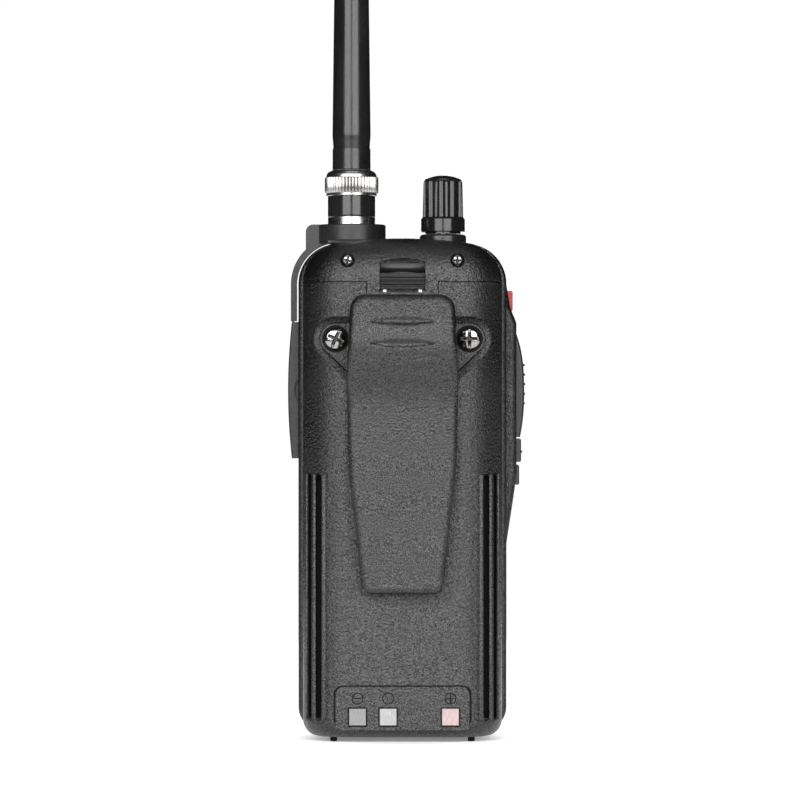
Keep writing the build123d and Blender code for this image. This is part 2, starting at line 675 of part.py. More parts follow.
def make_front_key(column, row):
    """A domed cap that stands out of its window, on a flange that keeps it in."""
    cap = along_y(key_face(column, row), KEY_FRONT, -22.5)
    cap = fillet(cap.faces().sort_by(Axis.Y)[0].edges(), 0.6)
    return cap + along_y(key_face(column, row, 0.9), -22.75, -22.35)


def make_volume_pot():
    body = block((KNOB_X - 5, KNOB_X + 5), (TOP_Y - 5, TOP_Y + 4.5), (124.0, 131.5))
    bush = post(KNOB_X, TOP_Y, 131.4, 137.2, 3.4)
    return body + bush - post(KNOB_X, TOP_Y, 126.0, 140, 1.55)


def make_knob_base_ring():
    ring = post(KNOB_X, TOP_Y, CASE_TOP + 0.05, 137.7, 6.4)
    ring = fillet(ring.edges().sort_by(Axis.Z)[-1], 0.8)
    return ring - post(KNOB_X, TOP_Y, 130, 140, 3.5)


def make_knob_shaft():
    shaft = post(KNOB_X, TOP_Y, 126.4, 150.0, 1.5)
    return shaft - block((KNOB_X - 3, KNOB_X + 3), (TOP_Y + 0.9, TOP_Y + 3), (140.0, 151))


def make_knob_cap():
    """Fluted knob: a skirt below, twelve hollow grooves above it, and a domed top."""
    points = [(0, 138.4), (5.9, 138.4), (6.05, 138.6), (6.05, 141.9), (5.65, 142.5), (5.4, 152.0)]
    points += [(5.15, 152.6), (4.7, 153.2), (4.0, 154.2), (0, 154.2)]
    dome = 12.0
    knob = turned(points) & Pos(0, 0, KNOB_TOP - dome) * Sphere(dome)
    grooves, first = 12, 24.6
    groove = post(5.85, 0, 142.5, 152.3, 1.25)
    for n in range(grooves):
        knob -= Rot(0, 0, first + n * 360 / grooves) * groove
    knob += post(0, 0, 137.9, 138.5, 4.9)
    hole = post(0, 0, 130, 150.1, 1.53) - block((-30, 30), (0.9, 20), (140.0, 151))
    return Pos(KNOB_X, TOP_Y, 0) * (knob - hole)


# ---- antenna -------------------------------------------------------------------------------------
def make_antenna_jack():
    """Panel socket: barrel, plated base ring and rear body, hollow for the plug's contact."""
    points = [(1.2, 127.0), (4.9, 127.0), (4.9, 136.5), (6.5, 136.5), (6.5, 142.45), (4.8, 142.45)]
    points += [(4.8, 150.0), (4.1, 150.0), (4.1, 142.0), (1.2, 142.0)]
    return turned(points, ANTENNA_X, TOP_Y)


def make_bayonet_sleeve():
    points = [(4.95, 142.6), (6.5, 142.6), (6.53, 143.0), (6.53, 148.2), (4.95, 148.2)]
    return turned(points, ANTENNA_X, TOP_Y)


def make_coupling_nut():
    points = [(4.95, 148.3), (6.9, 148.3), (7.05, 149.1), (7.38, 149.3), (7.38, 153.5)]
    points += [(7.1, 153.9), (5.9, 155.4), (5.3, 155.4), (5.3, 151.0), (4.95, 151.0)]
    return turned(points, ANTENNA_X, TOP_Y)


def make_antenna_core():
    """Centre contact and its insulator, under the boot."""
    points = [(0, 136.5), (0.7, 137.0), (0.7, 146.0), (3.9, 146.0), (3.9, 151.1), (4.9, 151.1)]
    points += [(4.9, 158.5), (0, 158.5)]
    return turned(points, ANTENNA_X, TOP_Y)


def make_antenna_boot():
    points = [(4.95, 155.5), (5.15, 155.5), (5.25, 155.7), (5.22, 161.3), (0, 161.3), (0, 158.55)]
    points.append((4.95, 158.55))
    return turned(points, ANTENNA_X, TOP_Y)


def make_antenna_whip():
    """Rubber-covered helical aerial, swelling a little above the boot and tapering to a round tip."""
    tip = 3.6
    swell = 165.0
    whip = turned([(0, 161.35), (5.0, 161.35), (5.27, swell), (tip, ANTENNA_TIP), (0, ANTENNA_TIP)])
    whip = fillet(whip.edges().sort_by(Axis.Z)[-1], tip * 0.94)
    return Pos(ANTENNA_X, TOP_Y, 0) * whip


# ---- rubber collar, strap and jack cover ---------------------------------------------------------
def make_antenna_collar():
    """Rubber ring round the aerial socket, with the strap that runs over the shoulder to the jack cover."""
    top, low = COLLAR_TOP, COLLAR_BOTTOM
    ring = post(ANTENNA_X, TOP_Y, low, top, 9.4)
    ring = fillet(ring.edges().sort_by(Axis.Z)[-1], 0.5)
    ring -= block((-10, 40), (SPLIT_Y - 0.1, 0), (low - 1, BODY_TOP + 0.1))
    gap, thick = 0.55, 1.6
    corner = 11.0
    inner_x, outer_x = CASE_HALF + gap, CASE_HALF + gap + thick
    bend = CASE_TOP - corner
    middle = (CASE_HALF - corner, bend)
    inner_r, outer_r = corner + gap, corner + gap + thick

    def on_arc(radius, degrees):
        angle = math.radians(degrees)
        return (middle[0] + radius * math.cos(angle), middle[1] + radius * math.sin(angle))

    leave = 46.5  # where the strap's back turns up into the block beside the ring
    block_x, root_x, end_z = on_arc(outer_r, leave)[0], ANTENNA_X + 5, COVER_TOP + 0.35
    outline = [(root_x, top), (root_x, low), (middle[0] + 2.0, low), on_arc(inner_r, 80)]
    edges = [
        Line((inner_x, end_z), (outer_x, end_z)),
        Line((outer_x, end_z), (outer_x, bend)),
        ThreePointArc((outer_x, bend), on_arc(outer_r, leave / 2), on_arc(outer_r, leave)),
        Line(on_arc(outer_r, leave), (block_x, top - 2.0)),
        ThreePointArc((block_x, top - 2.0), (block_x - 0.59, top - 0.59), (block_x - 2.0, top)),
        Line((block_x - 2.0, top), outline[0]),
        *[Line(a, b) for a, b in zip(outline, outline[1:])],
        ThreePointArc(on_arc(inner_r, 80), on_arc(inner_r, 40), (inner_x, bend)),
        Line((inner_x, bend), (inner_x, end_z)),
    ]
    strap = along_y(make_face(edges), TOP_Y - 3.0, TOP_Y + 3.0)
    return ring + strap - post(ANTENNA_X, TOP_Y, 130, 150, 6.6)


def make_jack_cover():
    inner, edge, belly = CASE_HALF + 0.1, 30.35, 31.4
    middle = (COVER_BOTTOM + COVER_TOP) / 2
    face = make_face([
        Line((inner, COVER_BOTTOM), (inner, COVER_TOP)),
        Line((inner, COVER_TOP), (edge, COVER_TOP)),
        ThreePointArc((edge, COVER_TOP), (belly, middle), (edge, COVER_BOTTOM)),
        Line((edge, COVER_BOTTOM), (inner, COVER_BOTTOM)),
    ])
    cover = along_y(face, SIDE_Y - COVER_HALF_WIDTH, SIDE_Y + COVER_HALF_WIDTH)
    rims = [e for e in cover.edges() if e.center().X > 30.5]
    cover = fillet(rims, 0.6)
    nail = Pos(inner - 4.2, SIDE_Y + COVER_HALF_WIDTH, middle) * Rot(90, 0, 0) * Cylinder(5.3, 2.4)
    cover -= nail
    for z, _ in JACKS:
        cover += rod_x(26.9, inner + 0.2, SIDE_Y, z, 2.4)
    return cover


def make_accessory_jacks():
    return all_of(
        block((JACK_IN - 2.0, JACK_OUT), (SIDE_Y - 3.6, SIDE_Y + 0.4 + 3.0), (z - 4.2, z + 4.2))
        - rod_x(JACK_IN, JACK_OUT + 1, SIDE_Y, z, radius)
        for z, radius in JACKS
    )


# ---- side keys -----------------------------------------------------------------------------------
def make_ptt_key():
    """Long rocker with a bowed back and five grip ridges."""
    inner = -28.9
    face = make_face([
        Line((inner, PTT_TOP), (-31.25, PTT_TOP)),
        Spline((-31.25, PTT_TOP), (-32.9, 104.0), (-33.45, 96.0), (-33.2, 88.0), (-32.3, PTT_BOTTOM)),
        Line((-32.3, PTT_BOTTOM), (inner, PTT_BOTTOM)),
        Line((inner, PTT_BOTTOM), (inner, PTT_TOP)),
    ])
    key = along_y(face, SIDE_Y - PTT_HALF_WIDTH, SIDE_Y + PTT_HALF_WIDTH)
    rims = [e for e in key.edges() if e.center().X < -31.5 and abs(e.center().Y - SIDE_Y) > 3]
    key = fillet(rims, 0.8)
    for n in range(5):
        z = 91.3 + 2.63 * n
        reach = 33.3 + 0.15 * math.cos((n - 2) * 0.7)
        ridge = Pos(-reach, SIDE_Y, z) * Rot(90, 0, 0) * Cylinder(0.35, 2 * PTT_HALF_WIDTH - 2.4)
        key += ridge
    return key


def make_side_key(name):
    low, high, half_width, inner, outer = SIDE_KEYS[name]
    key = block((outer, inner), (SIDE_Y - half_width, SIDE_Y + half_width), (low, high))
    key = fillet(key.faces().sort_by(Axis.X)[0].edges(), 0.5)
    if name == "monitor_key":
        key += rod_y(outer - 0.05, SIDE_Y - 2.4, SIDE_Y + 2.4, 78.0, 0.35)
    return key


def make_side_switches():
    """Four small push switches behind the side keys."""
    return all_of(
        block((-23.9, -21.4), (SIDE_Y - 2.0, SIDE_Y + 0.4), (z - 2, z + 2))
        + rod_x(-24.9, -23.8, SIDE_Y - 0.8, z, 1.0)
        for z in (119.4, 88.0, 78.4, 71.6)
    )


def make_status_led():
    lens = rod_y(20.5, -24.9, -22.0, 125.0, 1.2)
    return fillet(lens.edges().sort_by(Axis.Y)[0], 0.4)


def make_feet(places, top):
    feet = [post(x, y, 0, top, FOOT_RADIUS) for x, y in places]
    return all_of(fillet(foot.edges().group_by(Axis.Z)[0], 0.25) for foot in feet)


# ---- every node ----------------------------------------------------------------------------------
def build_all():
    parts["battery_case"] = make_battery_case()
    parts["battery_lid"] = make_battery_lid()
    parts["battery_cells"] = make_battery_cells()
    parts["cell_cradle"] = make_cell_cradle()
    parts["protection_board"] = make_protection_board()
    parts["charge_contacts"] = make_charge_contacts()
    parts["pack_terminals"] = make_pack_terminals()
    parts["clip_bracket"] = make_clip_bracket()
    parts["bracket_screws"] = make_bracket_screws()
    parts["belt_clip"] = make_belt_clip()
    parts["clip_pin"] = make_clip_pin()
    parts["clip_spring"] = make_clip_spring()
    parts["top_cover"] = make_top_cover()
    parts["latch_slider"] = make_latch_slider()
    parts["latch_prongs"] = make_latch_prongs()
    parts["latch_springs"] = make_latch_springs()
    parts["cover_screws"] = make_cover_screws()
    parts["front_case"] = make_front_case()
    parts["rear_chassis"] = make_chassis()
    parts["chassis_screws"] = make_chassis_screws()
    parts["battery_springs"] = make_battery_springs()
    parts["display_lens"] = make_display_lens()
    parts["display_panel"] = make_display_panel()
    parts["main_board"] = make_main_board()
    parts["shield_can"] = make_shield_can()
    parts["speaker"] = make_speaker()
    parts["speaker_mesh"] = make_speaker_mesh()
    parts["microphone"] = make_microphone()
    parts["key_mat"] = make_key_mat()
    parts["volume_pot"] = make_volume_pot()
    parts["knob_base_ring"] = make_knob_base_ring()
    parts["knob_shaft"] = make_knob_shaft()
    parts["knob_cap"] = make_knob_cap()
    parts["antenna_jack"] = make_antenna_jack()
    parts["bayonet_sleeve"] = make_bayonet_sleeve()
    parts["coupling_nut"] = make_coupling_nut()
    parts["antenna_core"] = make_antenna_core()
    parts["antenna_boot"] = make_antenna_boot()
    parts["antenna_whip"] = make_antenna_whip()
    parts["antenna_collar"] = make_antenna_collar()
    parts["jack_cover"] = make_jack_cover()
    parts["accessory_jacks"] = make_accessory_jacks()
    parts["ptt_key"] = make_ptt_key()
    for name in SIDE_KEYS:
        parts[name] = make_side_key(name)
    parts["side_switches"] = make_side_switches()
    parts["status_led"] = make_status_led()
    parts["pack_feet"] = make_feet(FEET, PACK_BOTTOM + 0.6)
    parts["case_feet"] = make_feet(CASE_FEET, CASE_BOTTOM + 0.6)
    parts["battery_case"] -= parts["pack_feet"]
    parts["front_case"] -= parts["case_feet"]
    number = 0
    for row in KEY_ROWS:
        for column in KEY_COLUMNS:
            number += 1
            parts[f"front_key_{number}"] = make_front_key(column, row)


build_all()
os.makedirs("parts", exist_ok=True)
for name, shape in parts.items():
    export_step(shape, os.path.join("parts", name + ".step"))
print(len(parts), "nodes written")
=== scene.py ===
"""Looks for the handheld two-way radio: materials, finely detailed pieces, stage, lights and camera."""
import json
import math

import bmesh
import bpy
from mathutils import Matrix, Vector


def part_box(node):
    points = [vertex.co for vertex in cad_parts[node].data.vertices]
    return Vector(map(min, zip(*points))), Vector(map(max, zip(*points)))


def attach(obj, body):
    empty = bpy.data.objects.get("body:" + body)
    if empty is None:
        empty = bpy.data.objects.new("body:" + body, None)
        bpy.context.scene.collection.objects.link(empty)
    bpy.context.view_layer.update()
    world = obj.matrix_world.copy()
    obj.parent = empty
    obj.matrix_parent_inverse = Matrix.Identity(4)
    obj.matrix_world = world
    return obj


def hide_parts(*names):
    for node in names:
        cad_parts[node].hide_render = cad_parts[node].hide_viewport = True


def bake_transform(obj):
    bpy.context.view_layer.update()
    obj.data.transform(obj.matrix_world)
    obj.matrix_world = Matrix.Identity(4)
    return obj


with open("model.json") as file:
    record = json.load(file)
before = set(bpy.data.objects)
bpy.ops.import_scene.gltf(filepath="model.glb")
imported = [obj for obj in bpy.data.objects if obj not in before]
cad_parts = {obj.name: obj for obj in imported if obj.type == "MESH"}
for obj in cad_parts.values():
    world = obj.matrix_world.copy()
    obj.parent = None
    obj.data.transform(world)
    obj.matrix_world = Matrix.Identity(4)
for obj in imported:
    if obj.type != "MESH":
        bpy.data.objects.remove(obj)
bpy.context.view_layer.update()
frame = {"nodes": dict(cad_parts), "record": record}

MM = 0.001
nodes = frame["nodes"]


# ---- small helpers ---------------------------------------------------------------------------------
def node_centre(name):
    low, high = (Vector(corner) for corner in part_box(name))
    return (low + high) / 2


def node_low(name):
    return Vector(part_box(name)[0])


def node_high(name):
    return Vector(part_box(name)[1])


def grey(value):
    return (value, value, value, 1.0)


def shader(name):
    """A fresh material: its node tree and its Principled node."""
    mat = bpy.data.materials.new(name)
    mat.use_nodes = True
    return mat, mat.node_tree, mat.node_tree.nodes["Principled BSDF"]


def add(tree, kind, settings=None, **sockets):
    """Adds a shader node. A socket value that is another node's output is linked."""
    node = tree.nodes.new("ShaderNode" + kind)
    for key, value in (settings or {}).items():
        setattr(node, key, value)
    for key, value in sockets.items():
        plug(tree, node.inputs[key.replace("_", " ")], value)
    return node


def plug(tree, socket, value):
    if isinstance(value, bpy.types.NodeSocket):
        tree.links.new(value, socket)
    else:
        socket.default_value = value


def ramp(tree, value, low, high, out_low=0.0, out_high=1.0):
    """value from low..high mapped to out_low..out_high, clamped."""
    node = add(tree, "MapRange", From_Min=low, From_Max=high, To_Min=out_low, To_Max=out_high)
    plug(tree, node.inputs["Value"], value)
    return node.outputs["Result"]


def blend_colour(tree, factor, first, second, mode="MIX"):
    node = add(tree, "MixRGB", {"blend_type": mode}, Fac=factor, Color1=first, Color2=second)
    return node.outputs["Color"]


def sum_of(tree, first, second, operation="ADD"):
    node = tree.nodes.new("ShaderNodeMath")
    node.operation = operation
    plug(tree, node.inputs[0], first)
    plug(tree, node.inputs[1], second)
    return node.outputs[0]


def object_coords(tree):
    return add(tree, "TexCoord").outputs["Object"]


def noise(tree, size, detail=3.0, roughness=0.5):
    """Noise whose features are about size metres across."""
    node = add(tree, "TexNoise", Vector=object_coords(tree), Scale=1.0 / size, Detail=detail,
               Roughness=roughness)
    return node.outputs["Fac"]


def edge_mask(tree, radius):
    """1 on sharp outer edges, 0 on flats: how far a bevelled normal leaves the real one."""
    rounded = add(tree, "Bevel", {"samples": 4}, Radius=radius).outputs["Normal"]
    real = add(tree, "NewGeometry").outputs["Normal"]
    dot = add(tree, "VectorMath", {"operation": "DOT_PRODUCT"})
    plug(tree, dot.inputs[0], rounded)
    plug(tree, dot.inputs[1], real)
    return ramp(tree, dot.outputs["Value"], 0.985, 0.86)


# ---- materials --------------------------------------------------------------------------------------
COARSE_GRAIN = 0.1 * MM  # a grain deeper than this sparkles
RUBBED_EDGE = 0.30 * MM


def moulded(name, tone, rough, grain=0.62 * MM, depth=0.16 * MM, wear=0.10, tint=(1.0, 1.0, 1.0),
            specular=0.5):
    """Moulded plastic or rubber: spark-eroded cells, slow colour drift, dust specks and rubbed edges."""
    mat, tree, bsdf = shader(name)
    cells = add(tree, "TexVoronoi", {"feature": "SMOOTH_F1"}, Vector=object_coords(tree), Scale=1.0 / grain)
    fine = noise(tree, grain * 0.5, 3.0, 0.6)
    drift = noise(tree, 14 * MM, 4.0, 0.55)
    height = sum_of(tree, cells.outputs["Distance"], fine)
    bump = add(tree, "Bump", Strength=0.9, Distance=depth, Height=height)
    dark, light = ([tone * t * k for t in tint] + [1.0] for k in (0.82, 1.2))
    colour = blend_colour(tree, ramp(tree, drift, 0.35, 0.65), dark, light)
    pits = ramp(tree, fine, 0.40, 0.60, 0.60, 1.35)
    colour = blend_colour(tree, 1.0, colour, pits, "MULTIPLY")
    patches = ramp(tree, noise(tree, 3 * MM), 0.42, 0.62)
    rubbed = sum_of(tree, edge_mask(tree, RUBBED_EDGE), patches, "MULTIPLY")
    worn_tone = [min(1.0, tone * 2.6 + 0.02) * t for t in tint] + [1.0]
    colour = blend_colour(tree, sum_of(tree, rubbed, wear, "MULTIPLY"), colour, worn_tone)
    specks = ramp(tree, noise(tree, 0.5 * MM, 1.0), 0.77, 0.80, 0.0, 0.15)
    colour = blend_colour(tree, specks, colour, grey(0.30))
    plug(tree, bsdf.inputs["Base Color"], colour)
    smooth = ramp(tree, drift, 0.3, 0.7, rough - 0.05, rough + 0.06)
    plug(tree, bsdf.inputs["Roughness"], sum_of(tree, smooth, ramp(tree, rubbed, 0, 1, 0, 0.10), "SUBTRACT"))
    plug(tree, bsdf.inputs["Normal"], bump.outputs["Normal"])
    sparkle = 0.7 if depth > COARSE_GRAIN else 0.12
    dimmest, brightest = specular * (1 - sparkle), specular * (1 + sparkle)
    plug(tree, bsdf.inputs["Specular IOR Level"], ramp(tree, fine, 0.36, 0.64, dimmest, brightest))
    return mat


def plated(name, colour, rough, wear=0.3, brush=None):
    """Plated or bare metal with fine scratches, a cloudy tarnish and brighter rubbed edges."""
    mat, tree, bsdf = shader(name)
    coords = object_coords(tree)
    if brush:
        coords = add(tree, "Mapping", Vector=coords, Scale=brush).outputs["Vector"]
    lines = add(tree, "TexNoise", Vector=coords, Scale=1.0 / (0.25 * MM), Detail=5.0, Roughness=0.65)
    cloud = noise(tree, 2.5 * MM, 4.0)
    bump = add(tree, "Bump", Strength=0.25, Distance=0.01 * MM, Height=lines.outputs["Fac"])
    dull = [c * 0.82 for c in colour] + [1.0]
    bright = list(colour) + [1.0]
    tone = blend_colour(tree, ramp(tree, cloud, 0.38, 0.6), dull, bright)
    rubbed = sum_of(tree, edge_mask(tree, 0.15 * MM), wear, "MULTIPLY")
    tone = blend_colour(tree, rubbed, tone, grey(0.85))
    plug(tree, bsdf.inputs["Base Color"], tone)
    dullness = ramp(tree, lines.outputs["Fac"], 0.3, 0.7, rough - 0.06, rough + 0.12)
    plug(tree, bsdf.inputs["Roughness"], dullness)
    plug(tree, bsdf.inputs["Normal"], bump.outputs["Normal"])
    bsdf.inputs["Metallic"].default_value = 1.0
    return mat


PALE_CONTACT_FROM = (7 * MM, 9 * MM)  # X between the two grey contacts
PINK_CONTACT_FROM = (-8 * MM, -5 * MM)  # X between the middle and the pink contact


def contact_plating(name):
    """Brushed contact plates: a dark grey, a pale grey and, on the far side, one of a warmer pink plating."""
    mat, tree, bsdf = shader(name)
    place = add(tree, "SeparateXYZ", Vector=add(tree, "NewGeometry").outputs["Position"])
    strokes = add(tree, "Mapping", Vector=object_coords(tree), Scale=(1.0, 1.0, 0.12)).outputs["Vector"]
    brushing = add(tree, "TexNoise", Vector=strokes, Scale=1.0 / (0.22 * MM), Detail=5.0, Roughness=0.7)
    lines = brushing.outputs["Fac"]
    warm = ramp(tree, place.outputs["X"], PINK_CONTACT_FROM[1], PINK_CONTACT_FROM[0])
    pale = ramp(tree, place.outputs["X"], PALE_CONTACT_FROM[1], PALE_CONTACT_FROM[0])
    cool = blend_colour(tree, pale, grey(0.20), grey(0.29))
    colour = blend_colour(tree, warm, cool, (0.36, 0.285, 0.28, 1))
    colour = blend_colour(tree, 1.0, colour, ramp(tree, lines, 0.35, 0.65, 0.72, 1.25), "MULTIPLY")
    plug(tree, bsdf.inputs["Base Color"], colour)
    plug(tree, bsdf.inputs["Roughness"], ramp(tree, lines, 0.3, 0.7, 0.42, 0.58))
    bump = add(tree, "Bump", Strength=0.3, Distance=0.02 * MM, Height=lines)
    plug(tree, bsdf.inputs["Normal"], bump.outputs["Normal"])
    bsdf.inputs["Metallic"].default_value = 1.0
    return mat


def printed_board(name):
    """Solder mask with copper tracks under it and silver pads."""
    mat, tree, bsdf = shader(name)
    tracks = add(tree, "TexVoronoi", {"feature": "DISTANCE_TO_EDGE"}, Vector=object_coords(tree),
                 Scale=1.0 / (4 * MM))
    line = ramp(tree, tracks.outputs["Distance"], 0.03, 0.06, 1.0, 0.0)
    colour = blend_colour(tree, line, (0.012, 0.10, 0.045, 1), (0.03, 0.20, 0.08, 1))
    pads = ramp(tree, noise(tree, 1.2 * MM, 1.0), 0.68, 0.70)
    plug(tree, bsdf.inputs["Base Color"], blend_colour(tree, pads, colour, (0.62, 0.62, 0.60, 1)))
    plug(tree, bsdf.inputs["Roughness"], ramp(tree, pads, 0, 1, 0.35, 0.25))
    return mat


def window_glass(name):
    """Tinted hard-coated window with faint wiping marks."""
    mat, tree, bsdf = shader(name)
    smear = noise(tree, 6 * MM, 5.0, 0.7)
    tint = blend_colour(tree, smear, (0.50, 0.55, 0.56, 1), (0.62, 0.66, 0.66, 1))
    plug(tree, bsdf.inputs["Base Color"], tint)
    plug(tree, bsdf.inputs["Roughness"], ramp(tree, smear, 0.35, 0.7, 0.03, 0.14))
    bsdf.inputs["Transmission Weight"].default_value = 1.0
    bsdf.inputs["IOR"].default_value = 1.49
    return mat


def display_face(name):
    """Reflective display: a warm grey-green field with a faint grid of dots."""
    mat, tree, bsdf = shader(name)
    upright = add(tree, "Mapping", Vector=object_coords(tree), Rotation=(math.pi / 2, 0, 0)).outputs["Vector"]
    grid = add(tree, "TexBrick", {"offset": 0.0}, Vector=upright, Scale=1.0 / (0.6 * MM), Mortar_Size=0.05,
               Color1=(0.34, 0.40, 0.33, 1), Color2=(0.37, 0.43, 0.35, 1), Mortar=(0.27, 0.32, 0.26, 1))
    cloud = ramp(tree, noise(tree, 12 * MM), 0.3, 0.7, 0.88, 1.05)
    plug(tree, bsdf.inputs["Base Color"], blend_colour(tree, 1.0, grid.outputs["Color"], cloud, "MULTIPLY"))
    plug(tree, bsdf.inputs["Roughness"], ramp(tree, cloud, 0.88, 1.05, 0.35, 0.45))
    return mat


def woven_cloth(name):
    """Black acoustic cloth: two crossed waves of thread."""
    mat, tree, bsdf = shader(name)
    waves = [
        add(tree, "TexWave", {"bands_direction": axis}, Vector=object_coords(tree), Scale=0.31 / (0.5 * MM))
        for axis in ("X", "Z")
    ]
    weave = sum_of(tree, waves[0].outputs["Fac"], waves[1].outputs["Fac"], "MULTIPLY")
    plug(tree, bsdf.inputs["Base Color"], blend_colour(tree, weave, grey(0.006), grey(0.035)))
    bump = add(tree, "Bump", Strength=0.8, Distance=0.1 * MM, Height=weave)
    plug(tree, bsdf.inputs["Normal"], bump.outputs["Normal"])
    bsdf.inputs["Roughness"].default_value = 0.9
    return mat


FLOOR_GLOW = (0.2, 0.9)  # glow under the radio, dimmed there as a painted contact shadow, and out in the open
SHADOW_REACH = (14 * MM, 34 * MM)  # where the painted shadow starts to fade into the glow and where the glow is full


def studio_floor(name):
    """A pale paper floor that glows, with a painted contact shadow: the glow is dimmed under the radio."""
    mat, tree, bsdf = shader(name)
    fibre = noise(tree, 3 * MM, 5.0, 0.6)
    plug(tree, bsdf.inputs["Base Color"], blend_colour(tree, fibre, grey(0.86), grey(0.90)))
    plug(tree, bsdf.inputs["Roughness"], ramp(tree, fibre, 0.3, 0.7, 0.7, 0.8))
    bsdf.inputs["Specular IOR Level"].default_value = 0.2
    bsdf.inputs["Emission Color"].default_value = grey(1.0)
    spread = add(tree, "Mapping", Vector=object_coords(tree), Scale=(0.8, 1.0, 1.0)).outputs["Vector"]
    reach = add(tree, "VectorMath", {"operation": "LENGTH"})
    plug(tree, reach.inputs[0], spread)
    # the glow is dimmed near the radio: a painted contact shadow on the floor
    glow_with_painted_shadow = ramp(tree, reach.outputs["Value"], *SHADOW_REACH, *FLOOR_GLOW)
    plug(tree, bsdf.inputs["Emission Strength"], glow_with_painted_shadow)
    return mat


RED, LAMP_RED, CELL_BLUE = (1.0, 0.055, 0.085), (0.9, 0.12, 0.06), (0.12, 0.45, 0.9)
MATERIALS = {
    "case_plastic": moulded("case_plastic", 0.004, 0.30, specular=0.42),
    "cover_plastic": moulded("cover_plastic", 0.005, 0.27),
    "pack_plastic": moulded("pack_plastic", 0.005, 0.27),
    "lid_plastic": moulded("lid_plastic", 0.035, 0.5, depth=0.01 * MM),
    "clip_plastic": moulded("clip_plastic", 0.005, 0.27),
    "latch_plastic": moulded("latch_plastic", 0.005, 0.22, grain=0.4 * MM, depth=0.012 * MM, specular=0.42),
    "knob_plastic": moulded("knob_plastic", 0.008, 0.17, grain=0.4 * MM, depth=0.006 * MM),
    "ring_plastic": moulded("ring_plastic", 0.010, 0.24, grain=0.4 * MM, depth=0.006 * MM),
    "jack_rubber": moulded("jack_rubber", 0.010, 0.42, grain=0.6 * MM, depth=0.02 * MM, wear=0.35),
    "key_rubber": moulded("key_rubber", 0.050, 0.50, grain=0.5 * MM, depth=0.01 * MM, wear=0.3),
    "ptt_rubber": moulded("ptt_rubber", 0.007, 0.42, grain=0.4 * MM, depth=0.010 * MM, wear=0.35),
    "alarm_red": moulded("alarm_red", 0.36, 0.42, grain=0.4 * MM, depth=0.010 * MM, wear=0.25, tint=RED),
    "whip_rubber": moulded("whip_rubber", 0.009, 0.20, grain=0.5 * MM, depth=0.006 * MM, wear=0.2),
    "sleeve_black": moulded("sleeve_black", 0.012, 0.18, grain=0.3 * MM, depth=0.004 * MM, wear=0.8),
    "nickel": plated("nickel", (0.44, 0.43, 0.42), 0.24, 0.15),
    "screw_steel": plated("screw_steel", (0.34, 0.335, 0.33), 0.14, 0.1),
    "pin_steel": plated("pin_steel", (0.55, 0.55, 0.56), 0.30, brush=(0.1, 1, 1)),
    "chassis_alloy": plated("chassis_alloy", (0.55, 0.56, 0.58), 0.45),
    "contact_plate": contact_plating("contact_plate"),
    "contact_gold": plated("contact_gold", (0.82, 0.62, 0.28), 0.25),
    "board_green": printed_board("board_green"),
    "shield_tin": plated("shield_tin", (0.66, 0.67, 0.69), 0.35),
    "display_glass": window_glass("display_glass"),
    "display_face": display_face("display_face"),
    "component_black": moulded("component_black", 0.022, 0.5, depth=0.008 * MM),
    "mesh_black": woven_cloth("mesh_black"),
    "mic_metal": plated("mic_metal", (0.50, 0.50, 0.50), 0.35),
    "cell_wrap": moulded("cell_wrap", 0.30, 0.25, grain=0.3 * MM, depth=0.002 * MM, tint=CELL_BLUE),
    "contact_insulator": moulded("contact_insulator", 0.65, 0.45, depth=0.005 * MM, wear=0.0),
    "led_lens": moulded("led_lens", 0.5, 0.2, grain=0.3 * MM, depth=0.002 * MM, wear=0.0, tint=LAMP_RED),
    "foot_rubber": moulded("foot_rubber", 0.006, 0.7, depth=0.02 * MM, wear=0.0, specular=0.08),
}
for entry in frame["record"]["subparts"]:
    for slot in nodes[entry["node"]].material_slots:
        slot.material = MATERIALS[entry["material_slot"]]


# ---- building pieces -----------------------------------------------------------------------------------
def finish_mesh(mesh, name, smooth=False):
    """An object in the scene from a mesh under construction."""
    data = bpy.data.meshes.new(name)
    bmesh.ops.recalc_face_normals(mesh, faces=mesh.faces)
    mesh.to_mesh(data)
    mesh.free()
    for face in data.polygons:
        face.use_smooth = smooth
    piece = bpy.data.objects.new(name, data)
    bpy.context.scene.collection.objects.link(piece)
    return piece


def dress(piece, slot, body):
    """Gives a piece its material slot and, if a body is named, lets it ride on that body."""
    piece.data.materials.append(MATERIALS[slot])
    if body:
        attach(piece, body)
    return piece


def sharpen(piece, degrees):
    """Smooth shading with hard edges where faces meet at more than the angle."""
    modifier = piece.modifiers.new("edges", "EDGE_SPLIT")
    modifier.split_angle = math.radians(degrees)


def nodes_body(node):
    """The body that carries a node."""
    return next(body for body, names in frame["record"]["behaviour"]["bodies"].items() if node in names)


def skin(mesh, loops):
    """Faces between each closed loop of points and the next."""
    for one, two in zip(loops, loops[1:]):
        count = len(one)
        for n in range(count):
            follow = (n + 1) % count
            mesh.faces.new((one[n], one[follow], two[follow], two[n]))


def lathe(name, profile, centre, slot, body, segments, ripple):
    """A turned piece about an upright axis. profile holds (radius, height) pairs in metres.
    ripple(angle, radius, height) gives the radius that the piece really has there."""
    mesh = bmesh.new()
    rings = []
    for radius, height in profile:
        ring = []
        for n in range(segments):
            angle = 2 * math.pi * n / segments
            reach = ripple(angle, radius, height)
            ring.append(mesh.verts.new((centre.x + reach * math.cos(angle),
                                        centre.y + reach * math.sin(angle), height)))
        rings.append(ring)
    skin(mesh, rings + rings[:1])
    return dress(finish_mesh(mesh, name, smooth=True), slot, body)


